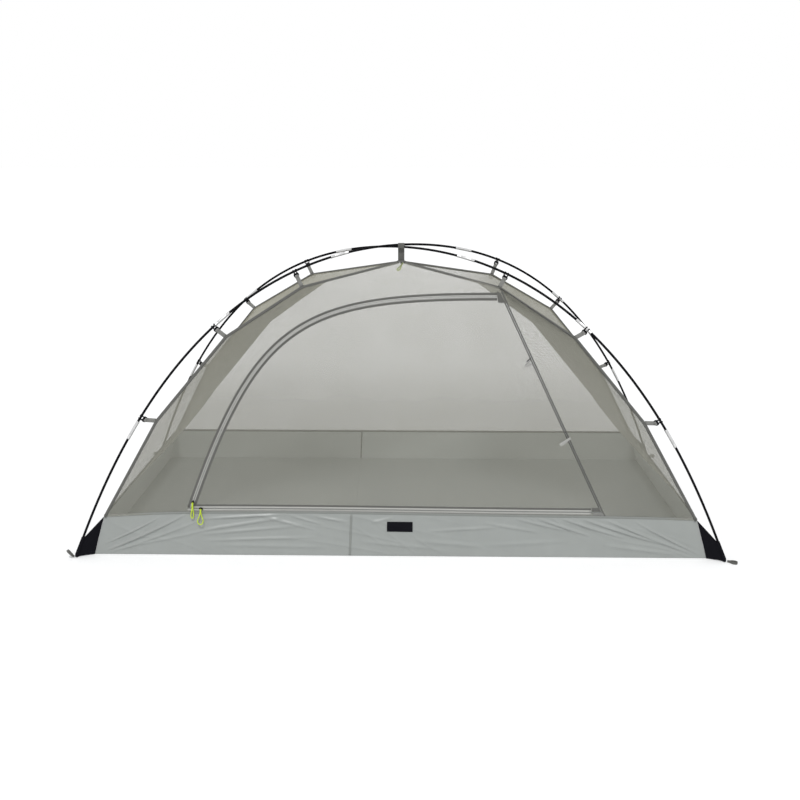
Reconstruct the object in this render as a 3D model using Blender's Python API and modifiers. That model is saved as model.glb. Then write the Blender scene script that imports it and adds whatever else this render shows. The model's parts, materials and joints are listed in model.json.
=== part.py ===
"""Mosquito net tent: two crossing poles, a clipped-on net with a D-shaped door, and a bathtub floor.

Metres, +Z up. The origin is the middle of the floor's underside, +X runs along the tent,
and -Y is the front, where the door is.
"""

import math

import bmesh
import bpy
import numpy as np
from mathutils import Matrix, Vector

# Floor and walls
FLOOR_LENGTH = 2.15
FLOOR_WIDTH = 1.03
WALL_HEIGHT = 0.134
WALL_LEAN = 0.038  # how far the wall's top stands in from its foot at the short ends
FLOOR_FABRIC = 0.0012
WALL_FOLD = 0.004  # how far the wall's folds stand in and out
FOLD_LENGTH = 0.31
WALL_RINGS, FLOOR_COLUMNS, FLOOR_ROWS = 3, 18, 8

# Net and its seams
NET_DROP = 0.053  # the top of the net's ridge hangs this far below the lower pole's axis
NET_THICKNESS = 0.0008
TAPE_WIDTH = 0.014
TAPE_THICKNESS = 0.001
SEAM_GAP = 0.0015
NET_TOP_REACH = 0.033  # the panels end this far from the middle, at the top patch
RIDGE_REACH_SHARES = (0.317, 0.5472, 0.7562)  # strap points on the ridge, of the pole foot's reach
RIDGE_HEIGHT_SHARES = (0.926, 0.762, 0.475)  # and their heights, of the net's height
BACK_SAG_SHARE, END_SAG_SHARE, DOOR_SAG_SHARE, SIDE_SAG_SHARE = 0.65, 0.31, 0.45, 0.3
END_SAG_GROWTH = 0.6  # how much more the ends are hollowed by the wall than at the top
ROWS_A_SPAN, PANEL_COLUMNS = 3, 10

# Poles
POLE_HEIGHT = 1.024  # axis of the lower pole where the two cross
POLE_DIAMETER = 0.008
POLE_WALL = 0.001
POLE_SHAPE_SHARES = {2: 0.618, 4: 0.356, 10: 0.026}  # how the height falls with powers of the reach
FOOT_REACH = 0.0607  # the feet stand this far beyond the floor's corners
FOOT_LIFT = 0.006
JOINT_SHARES = (0.141, 0.2843, 0.4278, 0.5773, 0.7228, 0.8651)  # joints along each pole, from the left
FERRULE_LENGTH = 0.07
FERRULE_WALL = 0.0008
POLE_STEP = 0.09
POLE_SAMPLES = 4001
TUBE_SIDES = 8
CLEARANCE = 0.0003
WELD = 0.000003  # points this close are one

# Pole clips and their straps
CLIP_REACH_SHARES = (0.3362, 0.5785, 0.7966)
HOOK_WALL = 0.0018
HOOK_WIDTH = 0.0045
HOOK_SPREAD = 0.011  # between the middles of a clip's two hooks
HOOK_START, HOOK_END = math.radians(-35), math.radians(265)
HOOK_STEPS = 10
CLIP_THICKNESS = 0.0036
CLIP_NECK = 0.004
CLIP_SLOT = 0.0055
CLIP_BAR = 0.003
CLIP_SIDE = 0.0025
STRAP_WIDTH = 0.015
STRAP_THICKNESS = 0.0012
STRAP_PLAY = 0.001
TOP_STRAP_WIDTH = 0.024
TOP_STRAP_PLAY = 0.0006
TOP_PATCH_RADIUS = 0.017
TOP_PATCH_THICKNESS = 0.005
RING_STEPS = 12

# Corner gussets and stake loops
GUSSET_THICKNESS = 0.012
GUSSET_MOUTH = 0.068  # height at which the pole goes in
GUSSET_MARGIN = 0.0065  # cloth beyond the pole's axis
GUSSET_TIP = 0.006  # cloth beyond the pole's foot
GUSSET_HEEL = 0.012  # height of the tip's flat end
LOOP_ROOT_RADIUS = 0.004
LOOP_LENGTH = 0.034
LOOP_WIDTH = 0.019
LOOP_BAND = 0.0022
LIFTED_LOOP_ANGLE = math.radians(55)

# Door
DOOR_LEFT = -0.7305  # foot of the zip's arc
DOOR_FOOT_HEIGHT = 0.03  # the lower zip's height above the wall
DOOR_TOP_DROP = 0.104  # the top of the zip's arc hangs this far below the top of the net
DOOR_TOP_X = 0.362
ARC_FOOT_HANDLE, ARC_FOOT_LEAN = 0.721, math.radians(19)
ARC_TOP_HANDLE, ARC_TOP_SLOPE = 0.691, math.radians(2.6)
HINGE_FOOT_X = 0.72
HINGE_GAP = 0.0014
ZIP_TAPE_WIDTH = 0.02
ZIP_THICKNESS = 0.0016
ZIP_GAP = 0.001
ARC_STEPS = 30
DOOR_COLUMNS = 14
SIDE_TOP_DROP = 0.03

# Sliders, pulls and the lantern loop
SLIDER_LENGTH = 0.013
SLIDER_WIDTH = 0.009
SLIDER_THICKNESS = 0.0035
SLIDER_BEVEL = 0.0008
SLIDER_STARTS = {"arc_slider": 0.022, "bottom_slider": 0.036}  # from the door's lower left corner
LUG_THICKNESS = 0.0016
LUG_REACH = 0.006
LUG_RADIUS = 0.003
CORD_RADIUS = 0.001
CORD_PLAY = 0.0005
PULL_LENGTH = 0.055
PULL_TILT = math.radians(17)  # each pull lies out over the wall by this much
LANTERN_LENGTH = 0.026
CORD_LOOP_WIDTH = 0.009


# Sizes worked out from those above
HALF_LENGTH, HALF_WIDTH = FLOOR_LENGTH / 2, FLOOR_WIDTH / 2
NET_HEIGHT = POLE_HEIGHT - NET_DROP
DIAGONAL = Vector((FLOOR_LENGTH, FLOOR_WIDTH, 0)).normalized()
CORNER_REACH = math.hypot(HALF_LENGTH, HALF_WIDTH)
TOP_SCALE = 1 - 2 * WALL_LEAN / FLOOR_LENGTH
WALL_TOP_X, WALL_TOP_Y = HALF_LENGTH * TOP_SCALE, HALF_WIDTH * TOP_SCALE
FOOT = CORNER_REACH + FOOT_REACH
POLE_RADIUS = POLE_DIAMETER / 2
NET_START = WALL_HEIGHT + ZIP_THICKNESS / 2 + CLEARANCE
FACET = math.cos(math.pi / TUBE_SIDES)
FERRULE_BORE = POLE_RADIUS / FACET + CLEARANCE
FERRULE_RADIUS = FERRULE_BORE + FERRULE_WALL
HOOK_INNER = FERRULE_RADIUS / FACET + CLEARANCE
SLOT_WIDTH = STRAP_WIDTH + STRAP_PLAY
CLIP_WIDTH = SLOT_WIDTH + 2 * CLIP_SIDE
CLIP_TOP = HOOK_INNER + HOOK_WALL / 2
CLIP_FOOT = CLIP_TOP + CLIP_NECK + CLIP_SLOT + CLIP_BAR
BAR_PLACE = CLIP_FOOT - CLIP_BAR / 2
BAR_REACH = math.hypot(CLIP_BAR, CLIP_THICKNESS) / 2
STRAP_RING_INNER = BAR_REACH / math.cos(math.pi / RING_STEPS) + CLEARANCE
STRAP_RING_MIDDLE = STRAP_RING_INNER + STRAP_THICKNESS / 2
TAPE_EDGE = TAPE_WIDTH / 2 + SEAM_GAP
DOOR_FOOT = WALL_HEIGHT + DOOR_FOOT_HEIGHT
DOOR_TOP = NET_HEIGHT - DOOR_TOP_DROP

CORNERS = {"front_left": (-1, -1), "front_right": (1, -1), "back_left": (-1, 1), "back_right": (1, 1)}
CROWNS = {1: POLE_HEIGHT + POLE_DIAMETER + CLEARANCE, -1: POLE_HEIGHT}
POLE_NAMES = {1: "upper_pole", -1: "lower_pole"}
UP = Vector((0, 0, 1))

# The ridge seam from the wall's top corner to the middle: reach from the middle, and height
RIDGE = [(math.hypot(WALL_TOP_X, WALL_TOP_Y), WALL_HEIGHT)]
for reach_share, height_share in zip(reversed(RIDGE_REACH_SHARES), reversed(RIDGE_HEIGHT_SHARES)):
    RIDGE.append((reach_share * FOOT, height_share * NET_HEIGHT))
RIDGE.append((0, NET_HEIGHT))


def start_scene():
    for obj in list(bpy.data.objects):
        bpy.data.objects.remove(obj, do_unlink=True)
    collections = []
    for name in ("mosquito_net_tent", "cutters"):
        collection = bpy.data.collections.new(name)
        bpy.context.scene.collection.children.link(collection)
        collections.append(collection)
    return collections


PARTS, CUTTERS = start_scene()


def material(name, colour, roughness, metallic=0):
    made = bpy.data.materials.new(name)
    made.use_nodes = True
    shader = made.node_tree.nodes["Principled BSDF"]
    shader.inputs["Base Color"].default_value = (*colour, 1)
    shader.inputs["Roughness"].default_value = roughness
    shader.inputs["Metallic"].default_value = metallic
    return made


BLACK_TUBE = material("black_tube", (0.012, 0.012, 0.013), 0.35)
SILVER = material("silver_ferrule", (0.75, 0.75, 0.76), 0.25, 1)
BLACK_PLASTIC = material("black_plastic", (0.015, 0.015, 0.016), 0.45)
BLACK_FABRIC = material("black_fabric", (0.012, 0.012, 0.012), 0.8)
GROUND_SHEET = material("grey_ground_sheet", (0.3, 0.32, 0.3), 0.55)
NETTING = material("grey_netting", (0.35, 0.36, 0.32), 0.85)
WEBBING = material("grey_webbing", (0.13, 0.13, 0.12), 0.8)
LIME_CORD = material("lime_cord", (0.58, 0.72, 0.03), 0.6)


def frame(origin, x_axis, y_axis):
    """A placement with its X and Y along the given directions."""
    x_axis, y_axis = Vector(x_axis).normalized(), Vector(y_axis).normalized()
    turned = Matrix((x_axis, y_axis, x_axis.cross(y_axis))).transposed().to_4x4()
    return Matrix.Translation(Vector(origin)) @ turned


def diagonal_frame(right, back):
    """X outwards along a floor diagonal and Y up, so that a pole or ridge lies in the XY plane."""
    return frame((0, 0, 0), (right * DIAGONAL.x, back * DIAGONAL.y, 0), UP)


def add_object(name, mesh, place, finish, collection=PARTS):
    obj = bpy.data.objects.new(name, mesh)
    obj.matrix_world = place
    collection.objects.link(obj)
    mesh.materials.clear()
    mesh.materials.append(finish)
    if collection == CUTTERS:
        obj.hide_render = True
        obj.display_type = "WIRE"
    return obj


def add_moving(name, mesh, origin, finish):
    """A piece modelled where it rests, with its origin moved to a point on its joint's axis."""
    mesh.transform(Matrix.Translation(-origin))
    return add_object(name, mesh, Matrix.Translation(origin), finish)


def evaluated_mesh(obj):
    """The object's mesh with its modifiers or curve settings applied, closed where ends meet."""
    bpy.context.view_layer.update()
    mesh = bpy.data.meshes.new_from_object(obj.evaluated_get(bpy.context.evaluated_depsgraph_get()))
    shape = bmesh.new()
    shape.from_mesh(mesh)
    bmesh.ops.remove_doubles(shape, verts=shape.verts, dist=WELD)
    bmesh.ops.recalc_face_normals(shape, faces=shape.faces)
    shape.to_mesh(mesh)
    shape.free()
    return mesh


def mesh_of_curve(curve):
    holder = bpy.data.objects.new("curve", curve)
    CUTTERS.objects.link(holder)
    mesh = evaluated_mesh(holder)
    bpy.data.objects.remove(holder)
    return mesh


def poly_curve(dimensions, paths, cyclic):
    curve = bpy.data.curves.new("outline", "CURVE")
    curve.dimensions = dimensions
    for path in paths:
        spline = curve.splines.new("POLY")
        spline.points.add(len(path) - 1)
        for point, place in zip(spline.points, path):
            point.co = (*place, *([0] * (3 - len(place))), 1)
        spline.use_cyclic_u = cyclic
    return curve


def flat_mesh(outlines, thickness):
    """A flat plate from closed outlines, holes included, as thick as given along Z."""
    curve = poly_curve("2D", outlines, True)
    curve.fill_mode = "BOTH"
    curve.extrude = thickness / 2
    return mesh_of_curve(curve)


def rod_mesh(path, radius, cyclic=False):
    curve = poly_curve("3D", [path], cyclic)
    curve.bevel_depth = radius
    curve.bevel_resolution = 2
    curve.use_fill_caps = not cyclic
    return mesh_of_curve(curve)


def thickened(mesh, thickness, offset):
    holder = bpy.data.objects.new("shell", mesh)
    CUTTERS.objects.link(holder)
    shell = holder.modifiers.new("thickness", "SOLIDIFY")
    shell.thickness = thickness
    shell.offset = offset
    shell.use_even_offset = True
    solid = evaluated_mesh(holder)
    bpy.data.objects.remove(holder)
    return solid


def tube_mesh(path, radius, wall):
    """An open tube of the given outer radius and wall."""
    curve = poly_curve("3D", [path], False)
    curve.bevel_depth = radius
    curve.bevel_resolution = 2
    curve.use_fill_caps = False
    return thickened(mesh_of_curve(curve), wall, -1)


def ribbon_mesh(path, width, thickness):
    curve = poly_curve("2D", [path], False)
    curve.fill_mode = "NONE"
    curve.extrude = width / 2
    return thickened(mesh_of_curve(curve), thickness, 0)


def sheet_mesh(columns, rows, place, thickness, offset=0, diagonals="SHORT_EDGE"):
    """A grid whose points are put where place(across, up) says, both from 0 to 1, made solid."""
    shape = bmesh.new()
    bmesh.ops.create_grid(shape, x_segments=columns, y_segments=rows, size=1 / 2)
    for vertex in shape.verts:
        vertex.co = place(vertex.co.x + 1 / 2, vertex.co.y + 1 / 2)
    bmesh.ops.remove_doubles(shape, verts=shape.verts, dist=WELD)
    # Both sides of the cloth share these flat triangles, so that neither passes through the other
    bmesh.ops.triangulate(shape, faces=shape.faces, quad_method=diagonals)
    mesh = bpy.data.meshes.new("sheet")
    shape.to_mesh(mesh)
    shape.free()
    return thickened(mesh, thickness, offset)


def boolean(obj, operation, other, solver="EXACT"):
    step = obj.modifiers.new(operation.lower(), "BOOLEAN")
    step.operation = operation
    step.solver = solver
    step.object = other


def joined(name, meshes, finish, solver="EXACT"):
    """One mesh from several that overlap: (mesh, placement) pairs."""
    solids = []
    for mesh, place in meshes:
        solids.append(add_object(name, mesh, place, finish, CUTTERS))
    for other in solids[1:]:
        boolean(solids[0], "UNION", other, solver)
    mesh = evaluated_mesh(solids[0])
    mesh.transform(solids[0].matrix_world)
    for solid in solids:
        bpy.data.objects.remove(solid)
    return mesh


def arc(radius, start, end, steps):
    """Points round the origin, with angles from +Y towards +X."""
    angles = np.linspace(start, end, steps + 1)
    return [(radius * math.sin(angle), radius * math.cos(angle)) for angle in angles]


def ring(radius, steps=RING_STEPS):
    return arc(radius, 0, 2 * math.pi, steps)[:-1]


def rectangle(left, right, low, high):
    return [(left, low), (right, low), (right, high), (left, high)]


# Poles

def pole_height(reach, crown):
    fall = sum(part * (reach / FOOT) ** power for power, part in POLE_SHAPE_SHARES.items())
    return FOOT_LIFT + (crown - FOOT_LIFT) * (1 - fall)


def pole_slope(reach, crown):
    steep = sum(part * power * (reach / FOOT) ** (power - 1) for power, part in POLE_SHAPE_SHARES.items())
    return -(crown - FOOT_LIFT) * steep / FOOT


class Pole:
    """One bent pole: reach from the left foot to the right one, against length along the pole."""

    def __init__(self, crown):
        self.crown = crown
        self.reaches = np.linspace(-FOOT, FOOT, POLE_SAMPLES)
        heights = pole_height(self.reaches, crown)
        steps = np.hypot(np.diff(self.reaches), np.diff(heights))
        self.lengths = np.concatenate([[0], np.cumsum(steps)])
        self.length = self.lengths[-1]
        self.joints = [share * self.length for share in JOINT_SHARES]
        self.marks = self.find_marks()

    def length_at(self, reach):
        return float(np.interp(reach, self.reaches, self.lengths))

    def point(self, length):
        reach = float(np.interp(length, self.lengths, self.reaches))
        return reach, pole_height(reach, self.crown)

    def find_marks(self):
        """Lengths at which every tube and ferrule has a point, so that they bend alike."""
        clips = [self.length_at(side * share * FOOT) for share in CLIP_REACH_SHARES for side in (-1, 1)]
        ends = [joint + side * FERRULE_LENGTH / 2 for joint in self.joints for side in (-1, 0, 1)]
        fixed = sorted([0, self.length_at(0), self.length, *clips, *ends])
        marks = []
        for low, high in zip(fixed, fixed[1:]):
            count = max(1, round((high - low) / POLE_STEP))
            marks += [low + (high - low) * i / count for i in range(count)]
        return [*marks, self.length]

    def path(self, start, end):
        """Points of the bent line from one length to another, ends included."""
        inner = [mark for mark in self.marks if start + CLEARANCE < mark < end - CLEARANCE]
        corners = np.array([self.point(mark) for mark in self.marks])
        ends = [tuple(float(np.interp(at, self.marks, column)) for column in corners.T) for at in (start, end)]
        return [ends[0], *[self.point(mark) for mark in inner], ends[1]]

    def on_ferrule(self, reach):
        at = self.length_at(reach)
        return min(abs(at - joint) for joint in self.joints) < (FERRULE_LENGTH + CLIP_WIDTH) / 2


POLES = {side: Pole(CROWNS[side]) for side in (1, -1)}


def pole_of(corner):
    right, back = CORNERS[corner]
    return POLES[right * back]


def make_poles():
    for side, pole in POLES.items():
        place = diagonal_frame(1, side)
        stops = [0, *pole.joints, pole.length]
        for number, (start, end) in enumerate(zip(stops, stops[1:]), 1):
            start += CLEARANCE / 2 if number > 1 else 0
            end -= CLEARANCE / 2 if number <= len(pole.joints) else 0
            mesh = tube_mesh(pole.path(start, end), POLE_RADIUS, POLE_WALL)
            add_object(f"{POLE_NAMES[side]}_section_{number}", mesh, place, BLACK_TUBE)
        for number, joint in enumerate(pole.joints, 1):
            path = pole.path(joint - FERRULE_LENGTH / 2, joint + FERRULE_LENGTH / 2)
            mesh = tube_mesh(path, FERRULE_RADIUS, FERRULE_WALL)
            add_object(f"{POLE_NAMES[side]}_ferrule_{number}", mesh, place, SILVER)


# Pole clips

def clip_place(corner, level):
    """Where a clip hangs on its pole: X along the pole and Y towards the net, in the diagonal plane."""
    pole = pole_of(corner)
    reach = CLIP_REACH_SHARES[level] * FOOT
    slope = pole_slope(reach, pole.crown)
    along = Vector((1, slope)).normalized()
    inward = Vector((slope, -1)).normalized()
    seat = FERRULE_RADIUS if pole.on_ferrule(CORNERS[corner][0] * reach) else POLE_RADIUS
    middle = Vector((reach, pole_height(reach, pole.crown))) + inward * (HOOK_INNER - seat - CLEARANCE)
    return middle, along, inward


def make_clip_mesh():
    hook = arc(HOOK_INNER + HOOK_WALL, HOOK_START, HOOK_END, HOOK_STEPS)
    hook += reversed(arc(HOOK_INNER, HOOK_START, HOOK_END, HOOK_STEPS))
    plate = rectangle(-CLIP_WIDTH / 2, CLIP_WIDTH / 2, CLIP_TOP, CLIP_FOOT)
    slot_top = CLIP_TOP + CLIP_NECK
    slot = rectangle(-SLOT_WIDTH / 2, SLOT_WIDTH / 2, slot_top, slot_top + CLIP_SLOT)
    pieces = [(flat_mesh([plate, slot], CLIP_THICKNESS), Matrix())]
    for side in (-1, 1):
        place = frame((side * HOOK_SPREAD / 2, 0, 0), (0, 0, side), (0, 1, 0))
        pieces.append((flat_mesh([hook], HOOK_WIDTH), place))
    return joined("clip", pieces, BLACK_PLASTIC)


LEVEL_NAMES = ("top", "middle", "low")


def make_clips():
    mesh = make_clip_mesh()
    for corner, signs in CORNERS.items():
        plane = diagonal_frame(*signs)
        for level, level_name in enumerate(LEVEL_NAMES):
            middle, along, inward = clip_place(corner, level)
            place = plane @ frame((*middle, 0), (*along, 0), (*inward, 0))
            add_object(f"pole_clip_{corner}_{level_name}", mesh.copy(), place, BLACK_PLASTIC)


# Ridge tapes, straps and the top patch

def ridge_point(level):
    return Vector((RIDGE_REACH_SHARES[level] * FOOT, RIDGE_HEIGHT_SHARES[level] * NET_HEIGHT))


def ridge_reach(height):
    heights = [point[1] for point in RIDGE]
    reaches = [point[0] for point in RIDGE]
    return float(np.interp(height, heights, reaches))


def strap_pieces(corner):
    """The strap of each clip: a loop round the clip's bar and a flat band down to the ridge."""
    plane = diagonal_frame(*CORNERS[corner])
    pieces = []
    for level in range(len(LEVEL_NAMES)):
        middle, along, inward = clip_place(corner, level)
        bar = middle + inward * BAR_PLACE
        outline = [ring(STRAP_RING_INNER + STRAP_THICKNESS), ring(STRAP_RING_INNER)]
        loop_place = plane @ frame((*bar, 0), (0, 0, 1), (*inward, 0))
        pieces.append((flat_mesh(outline, STRAP_WIDTH), loop_place))
        top = bar + inward * STRAP_RING_MIDDLE
        seat = ridge_point(level)
        index = len(RIDGE_REACH_SHARES) - level
        lower = (Vector(RIDGE[index - 1]) - seat).normalized() * STRAP_WIDTH / 2
        upper = (Vector(RIDGE[index + 1]) - seat).normalized() * STRAP_WIDTH / 2
        half = along * (STRAP_WIDTH - STRAP_THICKNESS) / 2
        band = [top + half, top - half, seat + upper, seat, seat + lower]
        pieces.append((flat_mesh([[tuple(point) for point in band]], STRAP_THICKNESS), plane))
    return pieces


def top_strap_pieces():
    """The strap that loops round the crossing and carries the top patch, with the lantern's lug below."""
    lean = DIAGONAL.y / DIAGONAL.x
    half = TOP_STRAP_WIDTH / 2 * lean + POLE_RADIUS / DIAGONAL.x + TOP_STRAP_PLAY
    low = CROWNS[-1] - POLE_RADIUS - TOP_STRAP_PLAY
    high = CROWNS[1] + POLE_RADIUS + TOP_STRAP_PLAY
    cut = POLE_RADIUS / 2
    band = STRAP_THICKNESS
    inner = [(-half + cut, low), (half - cut, low), (half, low + cut), (half, high - cut)]
    inner += [(half - cut, high), (-half + cut, high), (-half, high - cut), (-half, low + cut)]
    wide, floor, roof, outer_cut = half + band, low - band, high + band, cut + band / 2
    seat = NET_HEIGHT - TOP_PATCH_THICKNESS / 2
    outer = [(-band, seat), (band, seat), (band, floor), (wide - outer_cut, floor)]
    outer += [(wide, floor + outer_cut), (wide, roof - outer_cut), (wide - outer_cut, roof)]
    outer += [(-wide + outer_cut, roof), (-wide, roof - outer_cut), (-wide, floor + outer_cut)]
    outer += [(-wide + outer_cut, floor), (-band, floor)]
    across = frame((0, 0, 0), (0, 1, 0), UP)
    lug_place = frame((0, 0, lantern_hole().z), (0, -1, 0), UP)
    return [(flat_mesh([outer, inner], TOP_STRAP_WIDTH), across), (lug_mesh(), lug_place)]


def make_seam_tapes():
    patch_place = Matrix.Translation((0, 0, NET_HEIGHT - TOP_PATCH_THICKNESS / 2 + TAPE_THICKNESS))
    pieces = [(flat_mesh([ring(TOP_PATCH_RADIUS)], TOP_PATCH_THICKNESS), patch_place)]
    for side in (1, -1):
        half = [(reach, height) for reach, height in RIDGE[1:-1]]
        foot = (ridge_reach(NET_START), NET_START)
        right = [foot, *half]
        left = [(-reach, height) for reach, height in right]
        path = [*left, RIDGE[-1], *reversed(right)]
        pieces.append((ribbon_mesh(path, TAPE_WIDTH, TAPE_THICKNESS), diagonal_frame(1, side)))
    pieces += top_strap_pieces()
    for corner in CORNERS:
        pieces += strap_pieces(corner)
    # The exact solver drops whole tapes where the two cross in the patch, so this union takes the other one
    add_object("seam_tapes", joined("seam", pieces, WEBBING, "MANIFOLD"), Matrix(), WEBBING)


# Bathtub floor

def floor_point(across, up):
    """Folds the edge rings of the grid up into walls. Grid corners close up on the wall's corner edges."""
    columns, rows = FLOOR_COLUMNS + 2 * WALL_RINGS, FLOOR_ROWS + 2 * WALL_RINGS
    column, row = across * columns, up * rows
    inside_column = min(max(column, WALL_RINGS), columns - WALL_RINGS)
    inside_row = min(max(row, WALL_RINGS), rows - WALL_RINGS)
    x_share = (inside_column - WALL_RINGS) / FLOOR_COLUMNS - 1 / 2
    y_share = (inside_row - WALL_RINGS) / FLOOR_ROWS - 1 / 2
    x_rise = abs(column - inside_column) / WALL_RINGS
    y_rise = abs(row - inside_row) / WALL_RINGS
    rise = max(x_rise, y_rise)
    scale = 1 + (TOP_SCALE - 1) * rise
    point = Vector((x_share * FLOOR_LENGTH * scale, y_share * FLOOR_WIDTH * scale, rise * WALL_HEIGHT))
    if min(x_rise, y_rise) > 0 or rise == 0:
        return point
    if x_rise:
        outward, run, side = Vector((math.copysign(1, x_share), 0, 0)), y_share, FLOOR_WIDTH
    else:
        outward, run, side = Vector((0, math.copysign(1, y_share), 0)), x_share, FLOOR_LENGTH
    from_corner = side * (1 / 2 - abs(run))
    fade = math.sin(math.pi * rise) * min(1, from_corner / FOLD_LENGTH)
    return point + outward * WALL_FOLD * fade * math.sin(2 * math.pi * run * side / FOLD_LENGTH)


def make_floor():
    columns, rows = FLOOR_COLUMNS + 2 * WALL_RINGS, FLOOR_ROWS + 2 * WALL_RINGS
    mesh = sheet_mesh(columns, rows, floor_point, FLOOR_FABRIC, 1)
    add_object("bathtub_floor", mesh, Matrix(), GROUND_SHEET)


# Corner gussets and stake loops

def gusset_tip():
    return FOOT + GUSSET_TIP


def make_gusset(corner):
    pole = pole_of(corner)
    slope = pole_slope(FOOT, pole.crown)
    lean = 1 / abs(slope)
    mouth = FOOT - GUSSET_MOUTH * lean
    across = Vector((-slope, 1)).normalized() * GUSSET_MARGIN
    tip = gusset_tip()
    wall_foot, wall_top = CORNER_REACH + 2 * CLEARANCE, RIDGE[0][0] + 2 * CLEARANCE
    outline = [(wall_foot, 0), (tip, 0), (tip, GUSSET_HEEL)]
    outline += [(mouth + across.x, GUSSET_MOUTH + across.y)]
    outline += [(mouth - across.x, GUSSET_MOUTH - across.y + GUSSET_MARGIN), (wall_top, WALL_HEIGHT)]
    plane = diagonal_frame(*CORNERS[corner])
    gusset = add_object(
        f"corner_gusset_{corner}", flat_mesh([outline], GUSSET_THICKNESS), plane, BLACK_FABRIC
    )
    path = pole.path(pole.length_at(mouth - GUSSET_MOUTH), pole.length)
    end = Vector(path[-1]) - Vector(path[-2])
    path[-1] = tuple(Vector(path[-1]) + end.normalized() * CLEARANCE)
    bore = rod_mesh(path, POLE_RADIUS / FACET + CLEARANCE)
    cutter = add_object(f"pole_bore_{corner}", bore, plane, BLACK_FABRIC, CUTTERS)
    boolean(gusset, "DIFFERENCE", cutter)


def loop_root():
    """The stake loop's hinge axis, as reach and height."""
    return gusset_tip() + CLEARANCE + LOOP_ROOT_RADIUS, CLEARANCE + LOOP_ROOT_RADIUS


def make_loop_mesh():
    """Webbing bent into a long ring, with a rolled root on its hinge axis at the origin."""
    half = LOOP_WIDTH / 2
    straight = LOOP_LENGTH - 2 * half
    outlines = []
    for radius in (half, half - LOOP_BAND):
        far = [(x + half + straight, y) for x, y in arc(radius, 0, math.pi, RING_STEPS // 2)]
        near = [(x + half, y) for x, y in arc(radius, math.pi, 2 * math.pi, RING_STEPS // 2)]
        outlines.append(far + near)
    root = rod_mesh([(0, -half / 2, 0), (0, half / 2, 0)], LOOP_ROOT_RADIUS)
    loop = flat_mesh(outlines, 2 * LOOP_ROOT_RADIUS * FACET)
    return joined("loop", [(loop, Matrix()), (root, Matrix())], WEBBING)


def make_loops():
    mesh = make_loop_mesh()
    reach, height = loop_root()
    for corner, signs in CORNERS.items():
        lift = LIFTED_LOOP_ANGLE if corner == "front_left" else 0
        plane = diagonal_frame(*signs)
        outward = (math.cos(lift), math.sin(lift), 0)
        place = plane @ frame((reach, height, 0), outward, (0, 0, 1))
        add_object(f"stake_loop_{corner}", mesh.copy(), place, WEBBING)


# Net panels

def seam_height(up):
    """Heights of a panel's rows, with rows at the strap points."""
    stops = [NET_START, *[point[1] for point in RIDGE[1:-1]], top_height()]
    return float(np.interp(up, np.linspace(0, 1, len(stops)), stops))


def top_height():
    reach, height = RIDGE[-2]
    return NET_HEIGHT - (NET_HEIGHT - height) * NET_TOP_REACH / reach


def long_edge(height):
    """Where a front or back panel meets the ridge tape, in the quarter with X and Y above zero."""
    reach = ridge_reach(height)
    return reach * DIAGONAL.x - DIAGONAL.y * TAPE_EDGE, reach * DIAGONAL.y + DIAGONAL.x * TAPE_EDGE


def short_edge(height):
    reach = ridge_reach(height)
    return reach * DIAGONAL.x + DIAGONAL.y * TAPE_EDGE, reach * DIAGONAL.y - DIAGONAL.x * TAPE_EDGE


def taper(height):
    """How far up from the wall's top to the net's top, counted down from 1 to 0."""
    return (NET_HEIGHT - height) / (NET_HEIGHT - WALL_HEIGHT)


def bow(across):
    return 1 - (2 * across - 1) ** 2


def back_point(across, up):
    height = seam_height(up)
    x, y = long_edge(height)
    sag = BACK_SAG_SHARE * (y - WALL_TOP_Y * taper(height)) * bow(across)
    return Vector((x * (1 - 2 * across), y - sag, height))


def end_point(side):
    def place(across, up):
        height = seam_height(up)
        x, y = short_edge(height)
        share = END_SAG_SHARE + END_SAG_GROWTH * taper(height) ** 2
        sag = share * (x - WALL_TOP_X * taper(height)) * bow(across)
        return Vector((side * (x - sag), side * y * (2 * across - 1), height))

    return place


def hinge_line():
    """The door's straight hinge seam: its top beside the ridge's highest strap, and its foot."""
    height = ridge_point(0).y
    x, y = long_edge(height)
    return Vector((x, -y, height)), Vector((HINGE_FOOT_X, -WALL_TOP_Y, WALL_HEIGHT))


def hinge_at(height, beside=0):
    top, foot = hinge_line()
    share = (top.z - height) / (top.z - foot.z)
    return top + (foot - top) * share + Vector((beside, 0, 0))


def door_side_point(across, up):
    return door_surface(across, seam_height(up))


def door_surface(across, height):
    x, y = long_edge(height)
    left = Vector((-x, -y, height))
    hinge_top = hinge_line()[0]
    right = hinge_at(height, -HINGE_GAP) if height < hinge_top.z else Vector((x, -y, height))
    sag = DOOR_SAG_SHARE * (y - WALL_TOP_Y * taper(height)) * bow(across)
    return left.lerp(right, across) + Vector((0, sag, 0))


def surface_at(x, height):
    """The point of the door's surface with this X and height."""
    left, right = door_surface(0, height).x, door_surface(1, height).x
    return door_surface((x - left) / (right - left), height)


def side_point(across, up):
    hinge_top = hinge_line()[0]
    stops = [NET_START, RIDGE[1][1], RIDGE[2][1], hinge_top.z - SIDE_TOP_DROP]
    height = float(np.interp(up, np.linspace(0, 1, len(stops)), stops))
    x, y = long_edge(height)
    sag = SIDE_SAG_SHARE * (y - WALL_TOP_Y * taper(height)) * bow(across)
    return hinge_at(height, HINGE_GAP).lerp(Vector((x, -y, height)), across) + Vector((0, sag / 2, 0))


# Door outline, as X and height

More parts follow.
